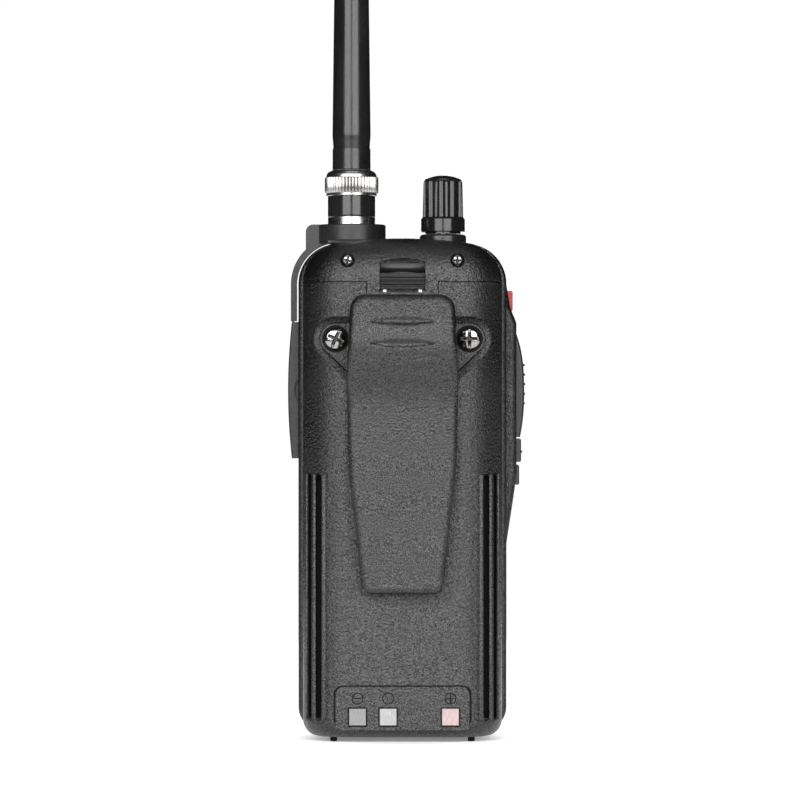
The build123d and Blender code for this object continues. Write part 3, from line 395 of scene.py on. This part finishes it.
def lathe_y(name, profile, centre, slot, body, segments=64):
    """A turned piece about an axis along Y. profile holds (radius, distance along Y) pairs."""
    mesh = bmesh.new()
    angles = [2 * math.pi * n / segments for n in range(segments)]
    rings = []
    for radius, along in profile:
        rings.append([mesh.verts.new((centre[0] + radius * math.cos(a), centre[1] + along,
                                      centre[2] + radius * math.sin(a))) for a in angles])
    skin(mesh, rings + rings[:1])
    return dress(finish_mesh(mesh, name, smooth=True), slot, body)


def coil_path(radius, pitch, turns, steps=20):
    """Points of a helix: the distance along its axis and the two places across it."""
    for n in range(int(turns * steps) + 1):
        angle = 2 * math.pi * n / steps
        yield pitch * n / steps, radius * math.cos(angle), radius * math.sin(angle)


def wire(name, strands, radius, slot, body):
    """Round wires along lists of points, as one mesh."""
    curve = bpy.data.curves.new(name, "CURVE")
    curve.dimensions = "3D"
    curve.bevel_depth, curve.bevel_resolution, curve.use_fill_caps = radius, 3, True
    for points in strands:
        spline = curve.splines.new("POLY")
        spline.points.add(len(points) - 1)
        for point, place in zip(spline.points, points):
            point.co = (*place, 1.0)
    holder = bpy.data.objects.new(name + "_curve", curve)
    bpy.context.scene.collection.objects.link(holder)
    data = bpy.data.meshes.new_from_object(holder.evaluated_get(bpy.context.evaluated_depsgraph_get()))
    bpy.data.objects.remove(holder)
    data.materials.clear()
    piece = bpy.data.objects.new(name, data)
    for face in data.polygons:
        face.use_smooth = True
    bpy.context.scene.collection.objects.link(piece)
    return dress(piece, slot, body)


def strip(name, x, y_back, y_face, half, z_low, z_high, slot):
    """An upright strip that faces +Y, with round ends and a softened edge."""
    mesh = bmesh.new()
    soft = min(half, y_face - y_back) * 0.45
    outline = []
    for z_end, start in ((z_high, 0), (z_high, 90), (z_low, 180), (z_low, 270)):
        middle = Vector((x, z_end - half if start < 180 else z_end + half))
        for n in range(7):
            angle = math.radians(start + 15 * n)
            outline.append((middle, Vector((math.cos(angle), math.sin(angle)))))
    loops = []
    for inset, y in ((0.0, y_back), (0.0, y_face - soft), (soft * 0.3, y_face - soft * 0.3), (soft, y_face)):
        reach = half - inset
        loops.append([mesh.verts.new((middle.x + way.x * reach, y, middle.y + way.y * reach))
                      for middle, way in outline])
    skin(mesh, loops)
    mesh.faces.new(loops[-1])
    mesh.faces.new(list(reversed(loops[0])))
    bmesh.ops.remove_doubles(mesh, verts=mesh.verts, dist=0.001 * MM)
    piece = dress(finish_mesh(mesh, name, smooth=True), slot, "battery_pack")
    sharpen(piece, 50)


MARK_TAPER = 0.94  # size of a raised mark's face against its foot
MARK_ROOT = 0.05 * MM  # how far its foot sinks into the face below


def raised_marks(name, outlines, face_y, height, slot, body):
    """Thin raised marks on a face that looks towards -Y. Each outline is a list of (x, z) in metres."""
    mesh = bmesh.new()
    for outline in outlines:
        middle = Vector((sum(x for x, _ in outline), sum(z for _, z in outline))) / len(outline)
        tapered = [middle + (Vector(corner) - middle) * MARK_TAPER for corner in outline]
        back = [mesh.verts.new((x, face_y + MARK_ROOT, z)) for x, z in outline]
        front = [mesh.verts.new((x, face_y - height, z)) for x, z in tapered]
        mesh.faces.new(front)
        mesh.faces.new(list(reversed(back)))
        skin(mesh, [back, front])
    return dress(finish_mesh(mesh, name), slot, body)


def bar(x0, x1, z0, z1):
    """A rectangle, in mm."""
    return [(x0 * MM, z0 * MM), (x1 * MM, z0 * MM), (x1 * MM, z1 * MM), (x0 * MM, z1 * MM)]


def regular(sides, radius, turn=90):
    """A regular polygon about the origin, in mm, with its first corner at the turn angle."""
    angles = [math.radians(turn + 360 * n / sides) for n in range(sides)]
    return [(radius * MM * math.cos(a), radius * MM * math.sin(a)) for a in angles]


# ---- stage, lights and camera -------------------------------------------------------------------------
FLOOR_RADIUS = 0.5


def make_floor():
    """The round sheet that the radio stands on."""
    mesh = bmesh.new()
    bmesh.ops.create_circle(mesh, cap_ends=True, segments=96, radius=FLOOR_RADIUS)
    floor = finish_mesh(mesh, "studio_floor")
    floor.data.materials.append(studio_floor("studio_floor"))


def area_light(name, place, target, width, height, power):
    """A softbox at a place that faces a target. Sizes in metres, power in watts."""
    data = bpy.data.lights.new(name, "AREA")
    data.shape = "RECTANGLE"
    data.size, data.size_y, data.energy = width, height, power
    light = bpy.data.objects.new(name, data)
    light.location = place
    light.rotation_mode = "QUATERNION"
    light.rotation_quaternion = (Vector(target) - Vector(place)).to_track_quat("-Z", "Y")
    bpy.context.scene.collection.objects.link(light)


SOFTBOX_TURN, SOFTBOX_RISE = math.radians(23.5), math.radians(21)
SOFTBOX_DISTANCE = 1.45


def make_lights():
    """Two broad softboxes with a narrow gap between them, a small pair for the front and a top light."""
    middle = Vector((0, 0, 0.10))
    level = math.cos(SOFTBOX_RISE)
    for side in (-1, 1):
        azimuth = side * SOFTBOX_TURN
        way = Vector((math.sin(azimuth) * level, math.cos(azimuth) * level, math.sin(SOFTBOX_RISE)))
        area_light("softbox_rear", middle + way * SOFTBOX_DISTANCE, middle, 1.06, 1.22, 22.5)
        area_light("softbox_front", (side * 0.13, -1.5, 0.17), middle, 0.22, 0.5, 0.9)
    area_light("top_fill", (0, 0, 1.6), (0, 0, 0), 0.8, 0.8, 3.0)


WORLD_DIM, WORLD_WHITE = 0.012, 1.02  # brightness as a light, and as a backdrop


def make_world():
    """A surround that looks white and lights the object only faintly."""
    world = bpy.data.worlds.new("studio")
    bpy.context.scene.world = world
    world.use_nodes = True
    tree = world.node_tree
    camera_ray = add(tree, "LightPath").outputs["Is Camera Ray"]
    strength = ramp(tree, camera_ray, 0, 1, WORLD_DIM, WORLD_WHITE)
    tree.nodes["Background"].inputs["Color"].default_value = grey(1.0)
    tree.links.new(strength, tree.nodes["Background"].inputs["Strength"])
    bpy.context.scene.view_settings.view_transform = "Standard"


CAMERA_DISTANCE = 1.2
CAMERA_X, CAMERA_Z = 0.67 * MM, 92.2 * MM
VIEW_WIDTH = 0.2150  # what the view spans at the pack's rear face
SENSOR = 36.0  # in mm, as lenses are given


def make_camera():
    """A long lens, square-on to the rear."""
    data = bpy.data.cameras.new("camera")
    data.sensor_width = SENSOR
    data.lens = SENSOR * CAMERA_DISTANCE / VIEW_WIDTH
    camera = bpy.data.objects.new("camera", data)
    rear = node_high("battery_case").y
    camera.location = (CAMERA_X, rear + CAMERA_DISTANCE, CAMERA_Z)
    camera.rotation_euler = (math.pi / 2, 0, math.pi)
    bpy.context.scene.collection.objects.link(camera)
    bpy.context.scene.camera = camera


# ---- detailed pieces ------------------------------------------------------------------------------------
KNURLS, KNURL_SHAPE = 52, 0.7


def make_knurled_nut():
    """The coupling nut: a plain lip, a band of straight knurling and a smooth shoulder above it."""
    low, high = node_low("coupling_nut"), node_high("coupling_nut")
    outer, base, top = (high.x - low.x) / 2, low.z, high.z
    knurl_low, knurl_high, cut = base + 0.80 * MM, base + 5.10 * MM, 0.34 * MM
    inner, lip, shoulder = outer - 2.4 * MM, outer - 0.38 * MM, outer - 0.40 * MM
    steps = [(inner, base), (lip - 0.15 * MM, base), (lip, base + 0.15 * MM), (lip, base + 0.50 * MM),
             (lip - 0.15 * MM, base + 0.62 * MM), (lip - 0.15 * MM, knurl_low - 0.01 * MM),
             (outer - 0.12 * MM, knurl_low), (outer, knurl_low + 0.2 * MM), (outer, knurl_high - 0.2 * MM),
             (outer - 0.12 * MM, knurl_high), (shoulder, knurl_high + 0.02 * MM)]
    bend = top - 0.25 * MM - knurl_high
    for n in range(1, 8):
        angle = math.radians(80 * n / 7)
        steps.append((shoulder - 1.35 * MM * (1 - math.cos(angle)), knurl_high + bend * math.sin(angle)))
    steps += [(outer - 2.05 * MM, top), (outer - 2.1 * MM, top - 1.5 * MM), (inner, top - 4.3 * MM)]

    def ripple(angle, radius, height):
        if knurl_low <= height <= knurl_high:
            return radius - cut * (0.5 - 0.5 * math.cos(angle * KNURLS)) ** KNURL_SHAPE
        return radius

    nut = lathe("knurled_nut", steps, node_centre("coupling_nut"), "nickel", "coupling", KNURLS * 8, ripple)
    sharpen(nut, 40)
    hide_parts("coupling_nut")


HEAD_SEGMENTS, HEAD_RINGS = 96, 26
HEAD_RIM = 0.35  # how much of a head's height is its straight rim
HEAD_FALL = 0.98  # how far the dome falls to that rim
ARM_TAPER, ARM_END, SLOT_WALL = 0.35, 0.25, 0.3


def cross_depth(x, z, radius, arm, width, depth):
    """Depth of a tapered cross recess at a point of a screw head."""
    across, along = sorted((abs(x), abs(z)))
    half = width * (1 - ARM_TAPER * along / radius)
    side = max(0.0, min(1.0, (half - across) / half))
    end = max(0.0, min(1.0, (arm - along) / (ARM_END * radius)))
    return depth * min(side, end)


def head_height(share, height):
    """Height of a domed head at a share of its radius."""
    return height * (HEAD_RIM + (1 - HEAD_RIM) * math.sqrt(max(0.0, 1 - HEAD_FALL * share**2)))


def slot_depth(x, half, depth):
    """Depth of a straight slot with sloping walls at a point of a screw head."""
    return depth * max(0.0, min(1.0, (half - abs(x)) / (SLOT_WALL * half)))


def make_screw_heads(name, node, places, radius, seat, height, cross, slot_half=0.0):
    """Domed plated heads on a node's screws. places holds (x, z, turn); cross holds arm, width and depth."""
    mesh = bmesh.new()
    for x, z, turn in places:
        spin = math.radians(turn)
        rings = []
        for r in range(HEAD_RINGS + 2):
            share = min(1.0, (r + 0.5) / HEAD_RINGS)
            reach = radius * share
            dome = head_height(share, height) if r <= HEAD_RINGS else 0.0
            ring = []
            for n in range(HEAD_SEGMENTS):
                angle = 2 * math.pi * n / HEAD_SEGMENTS
                u, v = reach * math.cos(angle - spin), reach * math.sin(angle - spin)
                sink = cross_depth(u, v, radius, *cross) if r < HEAD_RINGS else 0.0
                if slot_half and r < HEAD_RINGS:
                    sink = max(sink, slot_depth(u, slot_half, cross[2] * 0.6))
                ring.append(mesh.verts.new((x + reach * math.cos(angle), seat + max(dome - sink, 0.0),
                                            z + reach * math.sin(angle))))
            rings.append(ring)
        mesh.faces.new(rings[0])
        skin(mesh, rings)
        mesh.faces.new(rings[-1])
    heads = dress(finish_mesh(mesh, name, smooth=True), "screw_steel", nodes_body(node))
    sharpen(heads, 40)
    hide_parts(node)


def make_bracket_screws():
    """The clip bracket's two screws, each on a flat matt black ring: painted shade of the recess round its
    head.
    """
    low, high = node_low("bracket_screws"), node_high("bracket_screws")
    radius, z, height = 2.9 * MM, node_centre("bracket_screws").z, 1.7 * MM
    places = [(low.x + radius, z, 0), (high.x - radius, z, 25)]
    make_screw_heads("bracket_screw_heads", "bracket_screws", places, radius, high.y - height, height,
                     (2.3 * MM, 0.55 * MM, 1.1 * MM), 0.22 * MM)
    # a flat matt black ring under each head: painted shade of the recess round the head
    inner, outer, seat = radius - 0.2 * MM, radius + 0.75 * MM, high.y - height - 0.05 * MM
    profile = [(inner, 0), (outer, 0), (outer, 0.25 * MM), (inner, 0.32 * MM)]
    for x, _, _ in places:
        recess_shade_ring = lathe_y("screw_recess_shade", profile, (x, seat, z), "foot_rubber", "battery_pack")
        sharpen(recess_shade_ring, 30)


def make_cover_screws():
    """The top cover's two small screws, each ringed by a flat matt black ring: painted shade of its deep
    counterbore.
    """
    low, high = node_low("cover_screws"), node_high("cover_screws")
    radius, z, height = 1.45 * MM, node_centre("cover_screws").z, 1.0 * MM
    places = [(low.x + radius, z, 0), (high.x - radius, z, 12)]
    seat = high.y - height
    make_screw_heads("cover_screw_heads", "cover_screws", places, radius, seat, height,
                     (1.38 * MM, 0.34 * MM, 0.75 * MM))
    # a flat black ring on each counterbore's floor: painted shade where the deep recess lies in shadow
    inner, outer, bottom, top = radius + 0.02 * MM, radius + 0.47 * MM, 0.02 * MM, 0.12 * MM
    profile = [(inner, bottom), (outer, bottom), (outer, top), (inner, top)]
    for x, _, _ in places:
        lathe_y("counterbore_shade_ring", profile, (x, seat, z), "foot_rubber", "radio_body")


def make_clip_spring():
    """The torsion spring as real wire: a helix round the pin with a leg at each end."""
    pin = node_centre("clip_pin")
    half, wire_radius, radius, turns = 6.8 * MM, 0.42 * MM, 2.05 * MM, 13
    points = [(pin.x - half, pin.y + radius, pin.z - 6.0 * MM)]
    points += [(pin.x - half + along, pin.y + y, pin.z + z)
               for along, y, z in coil_path(radius, 2 * half / turns, turns)]
    points.append((pin.x + half, pin.y + radius, pin.z + 5.4 * MM))
    spring = wire("torsion_spring", [points], wire_radius, "pin_steel", "battery_pack")
    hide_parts("clip_spring")


def make_latch_springs():
    """The two springs above the thumb slide, as coils of wire."""
    low, high = node_low("latch_springs"), node_high("latch_springs")
    middle_y, wire_radius, turns = node_centre("latch_springs").y, 0.16 * MM, 9
    radius = (high.y - low.y) / 2 - wire_radius
    bottom, top = low.z + wire_radius, high.z - wire_radius
    strands = []
    for x in (low.x + radius + wire_radius, high.x - radius - wire_radius):
        strands.append([(x + across, middle_y + along, bottom + rise)
                        for rise, across, along in coil_path(radius, (top - bottom) / turns, turns, 16)])
    springs = wire("return_springs", strands, wire_radius, "pin_steel", None)
    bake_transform(springs)
    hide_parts("latch_springs")


SIDE_ROUND = 12.0 * MM  # how the pack's rear rounds into its sides
RIBS = ((21.15, 1.25, 0.25), (23.75, 0.90, 0.42), (25.85, 0.60, 0.30))  # centre, width and height, in mm
SLOT_SHADE_STRIPS = ((22.6, 1.44, 7.15), (25.0, 0.84, 4.75))  # black strips that paint the shade in the slots: centre, width and place along Y, in mm
RIB_LOW, RIB_HIGH = 5.9 * MM, 72.3 * MM
RIB_DEEP, SHADE_STRIP_DEEP = 1.2 * MM, 0.12 * MM
SHADE_STRIP_LOW, SHADE_STRIP_HIGH = RIB_LOW + 0.4 * MM, RIB_HIGH - 0.4 * MM


def rear_surface(x):
    """Where the battery pack's rounded rear lies at x."""
    high = node_high("battery_case")
    past_flat = max(0.0, abs(x) - (high.x - SIDE_ROUND))
    return high.y - SIDE_ROUND + math.sqrt(SIDE_ROUND**2 - past_flat**2)


def make_grip_ribs():
    """Rounded ribs along both sides of the pack, with matt black strips in the slots between them: painted
    shade down in the slots.
    """
    for side in (-1, 1):
        for centre, width, height in RIBS:
            x, half = side * centre * MM, width * MM / 2
            crest = rear_surface(x) + height * MM
            strip("grip_rib", x, crest - RIB_DEEP, crest, half, RIB_LOW, RIB_HIGH, "pack_plastic")
        # black strips laid on the slot floors: painted shade where the slots are deep
        for centre, width, level in SLOT_SHADE_STRIPS:
            x, half, face = side * centre * MM, width * MM / 2, level * MM
            strip("slot_shade_strip", x, face - SHADE_STRIP_DEEP, face, half, SHADE_STRIP_LOW, SHADE_STRIP_HIGH, "foot_rubber")


PANEL_HALF, PANEL_FOOT, PANEL_TOP, PANEL_CORNER = 18.35 * MM, 5.6 * MM, 15.45 * MM, 2.6 * MM
PANEL_SUNK, MARK_SUNK = 0.30 * MM, 0.70 * MM  # depths behind the pack's rear
MARK_RADIUS, MARK_ARM, MARK_RISE = 1.5 * MM, 1.2 * MM, 5.0 * MM
MIDDLE_CONTACT_X = 3.85 * MM


def make_panel_groove_shade():
    """A black line round the contact panel: painted shade in the groove at its edge."""
    y = node_high("battery_case").y - PANEL_SUNK
    path = [(PANEL_HALF, y, PANEL_FOOT)]
    for n in range(9):
        angle = math.radians(90 * n / 8)
        path.append((PANEL_HALF - PANEL_CORNER * (1 - math.cos(angle)), y,
                     PANEL_TOP - PANEL_CORNER * (1 - math.sin(angle))))
    path += [(-x, y, z) for x, _, z in reversed(path)]
    # a black wire along the panel's edge: painted shade in its groove
    wire("panel_groove_shade", [path], 0.2 * MM, "foot_rubber", "battery_pack")


def make_polarity_marks():
    """A thin ring above each contact: one with a bar, one empty and one with a cross."""
    low, high = node_low("charge_contacts"), node_high("charge_contacts")
    half = (high.z - low.z) / 2
    y, z = node_high("battery_case").y - MARK_SUNK, node_centre("charge_contacts").z + MARK_RISE
    strands = []
    for x, bars in ((high.x - half, 1), (MIDDLE_CONTACT_X, 0), (low.x + half, 2)):
        angles = [math.radians(15 * n) for n in range(25)]
        strands.append([(x + MARK_RADIUS * math.cos(a), y, z + MARK_RADIUS * math.sin(a)) for a in angles])
        if bars:
            strands.append([(x - MARK_ARM, y, z), (x + MARK_ARM, y, z)])
        if bars == 2:
            strands.append([(x, y, z - MARK_ARM), (x, y, z + MARK_ARM)])
    wire("polarity_marks", strands, 0.09 * MM, "foot_rubber", "battery_pack")


KEY_MARKS = [  # one generic mark for each front key
    [regular(3, 1.6, 90)],
    [regular(3, 1.6, -90)],
    [regular(24, 0.9)],
    [bar(-1.8, 1.8, -0.35, 0.35)],
    [bar(-1.8, 1.8, 0.35, 0.95), bar(-1.8, 1.8, -0.95, -0.35)],
    [regular(4, 1.3, 45)],
    [regular(3, 1.6, 180)],
    [regular(3, 1.6, 0)],
]


def make_key_marks():
    """Pale raised marks on the front keys."""
    for n, outlines in enumerate(KEY_MARKS, start=1):
        low, middle = node_low(f"front_key_{n}"), node_centre(f"front_key_{n}")
        placed = [[(x + middle.x, z + middle.z) for x, z in outline] for outline in outlines]
        raised_marks(f"key_mark_{n}", placed, low.y, 0.12 * MM, "contact_insulator", f"pad_{n}")


def make_display_marks():
    """Dark display segments behind the window: a rising signal meter, a battery sign and a level bar."""
    middle, front = node_centre("display_panel"), node_low("display_panel").y
    outlines = [bar(-15 + 2.2 * n, -13.6 + 2.2 * n, 4.0, 5.2 + 1.2 * n) for n in range(5)]
    outlines += [bar(6, 14, 4.5, 5.2), bar(6, 14, 8.3, 9.0), bar(6, 6.7, 5.2, 8.3), bar(13.3, 14, 5.2, 8.3)]
    outlines += [bar(14, 15, 5.8, 7.7), bar(7.3, 9.0, 5.7, 7.8), bar(9.6, 11.3, 5.7, 7.8)]
    outlines += [bar(-15 + 3.1 * n, -12.5 + 3.1 * n, -7.5, -4.5) for n in range(7)]
    placed = [[(x + middle.x, z + middle.z) for x, z in outline] for outline in outlines]
    raised_marks("display_marks", placed, front, 0.04 * MM, "component_black", "radio_body")


def make_hinge_web():
    """The thin rubber web that joins the strap to the jack cover."""
    strap_low, strap_high = node_low("antenna_collar"), node_high("antenna_collar")
    cover_high = node_high("jack_cover")
    middle_y = node_centre("jack_cover").y
    mesh = bmesh.new()
    top, bottom = strap_low.z + 0.9 * MM, cover_high.z - 0.9 * MM
    outer, thick, half, steps = strap_high.x - 0.12 * MM, 0.7 * MM, 2.9 * MM, 12
    sections = []
    for n in range(steps + 1):
        z = top + (bottom - top) * n / steps
        waist = 0.22 * MM * math.sin(math.pi * n / steps)
        face, back = outer - waist, outer - thick
        corners = [(face, -half), (face, half), (back, half), (back, -half)]
        sections.append([mesh.verts.new((x, middle_y + y, z)) for x, y in corners])
    skin(mesh, sections)
    mesh.faces.new(sections[0])
    mesh.faces.new(list(reversed(sections[-1])))
    web = dress(finish_mesh(mesh, "hinge_web"), "jack_rubber", None)
    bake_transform(web)


# ---- belt clip lever --------------------------------------------------------------------------------------
def smooth_through(points, t):
    """A smooth value at t through (t, value) points, level wherever the points turn back."""
    points = sorted(points)
    if t <= points[0][0]:
        return points[0][1]
    if t >= points[-1][0]:
        return points[-1][1]
    n = next(i for i in range(len(points) - 1) if points[i][0] <= t <= points[i + 1][0])

    def slope(i):
        if i in (0, len(points) - 1):
            near = 1 if i == 0 else i - 1
            return (points[i][1] - points[near][1]) / (points[i][0] - points[near][0])
        before = (points[i][1] - points[i - 1][1]) / (points[i][0] - points[i - 1][0])
        after = (points[i + 1][1] - points[i][1]) / (points[i + 1][0] - points[i][0])
        return 0.0 if before * after <= 0 else 2 * before * after / (before + after)

    (t0, v0), (t1, v1) = points[n], points[n + 1]
    span = t1 - t0
    u = (t - t0) / span
    return ((2 * u**3 - 3 * u**2 + 1) * v0 + (u**3 - 2 * u**2 + u) * span * slope(n)
            + (3 * u**2 - 2 * u**3) * v1 + (u**3 - u**2) * span * slope(n + 1))


CLIP_TALL = 80.2
# Half widths, and depths behind the pad, each after its height above the tip, in mm.
CLIP_HALF_WIDTHS = [(0.0, 10.75), (8.8, 11.65), (20.8, 12.95), (31.5, 14.2), (43.8, 14.7), (57.8, 14.85),
                    (71.8, 14.2), (CLIP_TALL, 14.0)]
CLIP_DEPTHS = [(0.0, -6.2), (46.8, -4.75), (51.0, -4.45), (54.8, -3.6), (59.0, -2.05), (63.0, -0.8),
               (67.4, 0.0), (71.8, -0.4), (CLIP_TALL, -2.6)]
CLIP_THICK = 2.5 * MM
CLIP_EDGE, CLIP_BACK_EDGE = 1.7 * MM, 0.5 * MM  # rounding of the outer and the inner edge
CLIP_TOP_CORNER, CLIP_TIP_CORNER = 4.0 * MM, 2.4 * MM
CLIP_ROWS, CLIP_COLUMNS = 200, 72
GROOVE_HALF, GROOVE_TALL, GROOVE_DEEP = 9.2 * MM, 1.15 * MM, 0.75 * MM
GROOVES_BELOW_TOP = (7.2 * MM, 13.2 * MM)


def clip_corner(half, z, radius, start):
    """A quarter turn of the lever's outline that ends or starts facing +X."""
    middle = Vector((half - radius, z))
    points = []
    for n in range(13):
        angle = math.radians(start - 90 * n / 12)
        normal = Vector((math.cos(angle), math.sin(angle)))
        points.append((middle + normal * radius, normal))
    return points


def clip_rail(low, high):
    """The lever's edge on +X from top corner to tip corner: (place, outward normal) in X and Z."""
    top_half = smooth_through(CLIP_HALF_WIDTHS, CLIP_TALL) * MM
    tip_half = smooth_through(CLIP_HALF_WIDTHS, 0.0) * MM
    z_top, z_tip = high - CLIP_TOP_CORNER, low + CLIP_TIP_CORNER
    rail = clip_corner(top_half, z_top, CLIP_TOP_CORNER, 90)
    for n in range(1, CLIP_ROWS):
        z = z_top + (z_tip - z_top) * n / CLIP_ROWS
        rail.append((Vector((smooth_through(CLIP_HALF_WIDTHS, (z - low) / MM) * MM, z)), Vector((1, 0))))
    return rail + clip_corner(tip_half, z_tip, CLIP_TIP_CORNER, 0)


def groove_depth(x, z, top):
    """How far the two thumb grooves sink the pad at a point."""
    depth = 0.0
    for below_top in GROOVES_BELOW_TOP:
        reach = 1 - (x / GROOVE_HALF) ** 2
        if reach > 0:
            across = (z - (top - below_top)) / (GROOVE_TALL * reach + 0.05 * MM)
            depth += GROOVE_DEEP * math.sqrt(reach) * max(0.0, 1 - across**2)
    return depth


def rim_of(rows):
    """The closed loop of points round a grid."""
    last = len(rows) - 1
    loop = list(rows[0]) + [row[-1] for row in rows[1:last]] + list(reversed(rows[last]))
    return loop + [row[0] for row in reversed(rows[1:last])]


def make_belt_clip():
    """The lever: a bent blade with a full round edge, two thumb grooves, cheeks for the pin and a lip."""
    low, high = node_low("belt_clip"), node_high("belt_clip")
    rail = clip_rail(low.z, high.z)
    last = len(rail) - 1
    mesh = bmesh.new()

    def face_y(z):
        return high.y + smooth_through(CLIP_DEPTHS, (z - low.z) / MM) * MM

    def grid_row(i, inset, drop, grooved=False):
        place, normal = rail[i]
        edge = place - normal * inset
        row = []
        for c in range(CLIP_COLUMNS + 1):
            x = edge.x * (2 * c / CLIP_COLUMNS - 1)
            sink = groove_depth(x, edge.y, high.z) if grooved else 0.0
            row.append(mesh.verts.new((x, face_y(edge.y) - drop - sink, edge.y)))
        return row

    def ring(inset, drop):
        """One closed loop of points round the lever."""
        right = [place - normal * inset for place, normal in rail[1:last]]
        loop = grid_row(0, inset, drop)
        loop += [mesh.verts.new((p.x, face_y(p.y) - drop, p.y)) for p in right]
        loop += list(reversed(grid_row(last, inset, drop)))
        return loop + [mesh.verts.new((-p.x, face_y(p.y) - drop, p.y)) for p in reversed(right)]

    def fill(rows):
        for upper, lower in zip(rows, rows[1:]):
            for c in range(CLIP_COLUMNS):
                mesh.faces.new((upper[c], upper[c + 1], lower[c + 1], lower[c]))

    front = [grid_row(i, CLIP_EDGE, 0.0, grooved=True) for i in range(len(rail))]
    back = [grid_row(i, CLIP_BACK_EDGE, CLIP_THICK) for i in range(len(rail))]
    fill(front)
    fill(back)
    rings = [rim_of(front)]
    for n in range(1, 7):
        angle = math.radians(90 * n / 6)
        rings.append(ring(CLIP_EDGE * (1 - math.sin(angle)), CLIP_EDGE * (1 - math.cos(angle))))
    for n in range(1, 4):
        angle = math.radians(90 * n / 4)
        inset, rise = CLIP_BACK_EDGE * (1 - math.cos(angle)), CLIP_BACK_EDGE * (1 - math.sin(angle))
        rings.append(ring(inset, CLIP_THICK - rise))
    rings.append(rim_of(back))
    skin(mesh, rings)
    clip_cheeks(mesh)
    clip_lip(mesh, low)
    lever = dress(finish_mesh(mesh, "clip_lever", smooth=True), "clip_plastic", "clip_lever")
    sharpen(lever, 50)
    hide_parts("belt_clip")


CHEEK_X, CHEEK_THICK, PIN_HOLE = 10.8 * MM, 2.5 * MM, 1.32 * MM
CHEEK_RADIUS, CHEEK_STRETCH, CHEEK_REACH = 3.0 * MM, 4.6 * MM, 7.0 * MM  # drawn out towards the blade
LIP_HALF, LIP_RISE, LIP_ROUND = 9.6 * MM, 2.3 * MM, 1.1 * MM
LIP_FRONT, LIP_BACK = 1.0 * MM, 5.4 * MM  # along Y from the lever's innermost point


def clip_cheeks(mesh):
    """The two cheeks that carry the pivot pin."""
    pin = node_centre("clip_pin")
    steps = 40
    for side in (-1, 1):
        loops = []
        for x in (side * CHEEK_X, side * (CHEEK_X + CHEEK_THICK)):
            outside, inside = [], []
            for n in range(steps):
                angle = 2 * math.pi * n / steps
                direction = Vector((0, math.cos(angle), math.sin(angle)))
                reach = min(CHEEK_RADIUS + max(0.0, direction.y) * CHEEK_STRETCH, CHEEK_REACH)
                outside.append(mesh.verts.new(Vector((x, pin.y, pin.z)) + direction * reach))
                inside.append(mesh.verts.new(Vector((x, pin.y, pin.z)) + direction * PIN_HOLE))
            loops.append((outside, inside))
        (out_a, in_a), (out_b, in_b) = loops
        skin(mesh, [in_a, out_a, out_b, in_b, in_a])


def clip_lip(mesh, low):
    """The rounded lip at the tip, which catches the belt's lower edge."""
    z, front, back = low.z + LIP_RISE, low.y + LIP_FRONT, low.y + LIP_BACK
    sections = []
    for x in (-LIP_HALF, LIP_HALF):
        section = [Vector((x, back, z + LIP_ROUND))]
        for n in range(13):
            angle = math.radians(90 + 180 * n / 12)
            section.append(Vector((x, front + LIP_ROUND + LIP_ROUND * math.cos(angle),
                                   z + LIP_ROUND * math.sin(angle))))
        section.append(Vector((x, back, z - LIP_ROUND)))
        sections.append([mesh.verts.new(p) for p in section])
    skin(mesh, sections)
    mesh.faces.new(sections[0])
    mesh.faces.new(sections[1])


# ---- build ---------------------------------------------------------------------------------------------
make_camera()
make_world()
make_lights()
make_floor()
make_knurled_nut()
make_bracket_screws()
make_cover_screws()
make_clip_spring()
make_latch_springs()
make_grip_ribs()
make_panel_groove_shade()
make_polarity_marks()
make_belt_clip()
make_key_marks()
make_display_marks()
make_hinge_web()
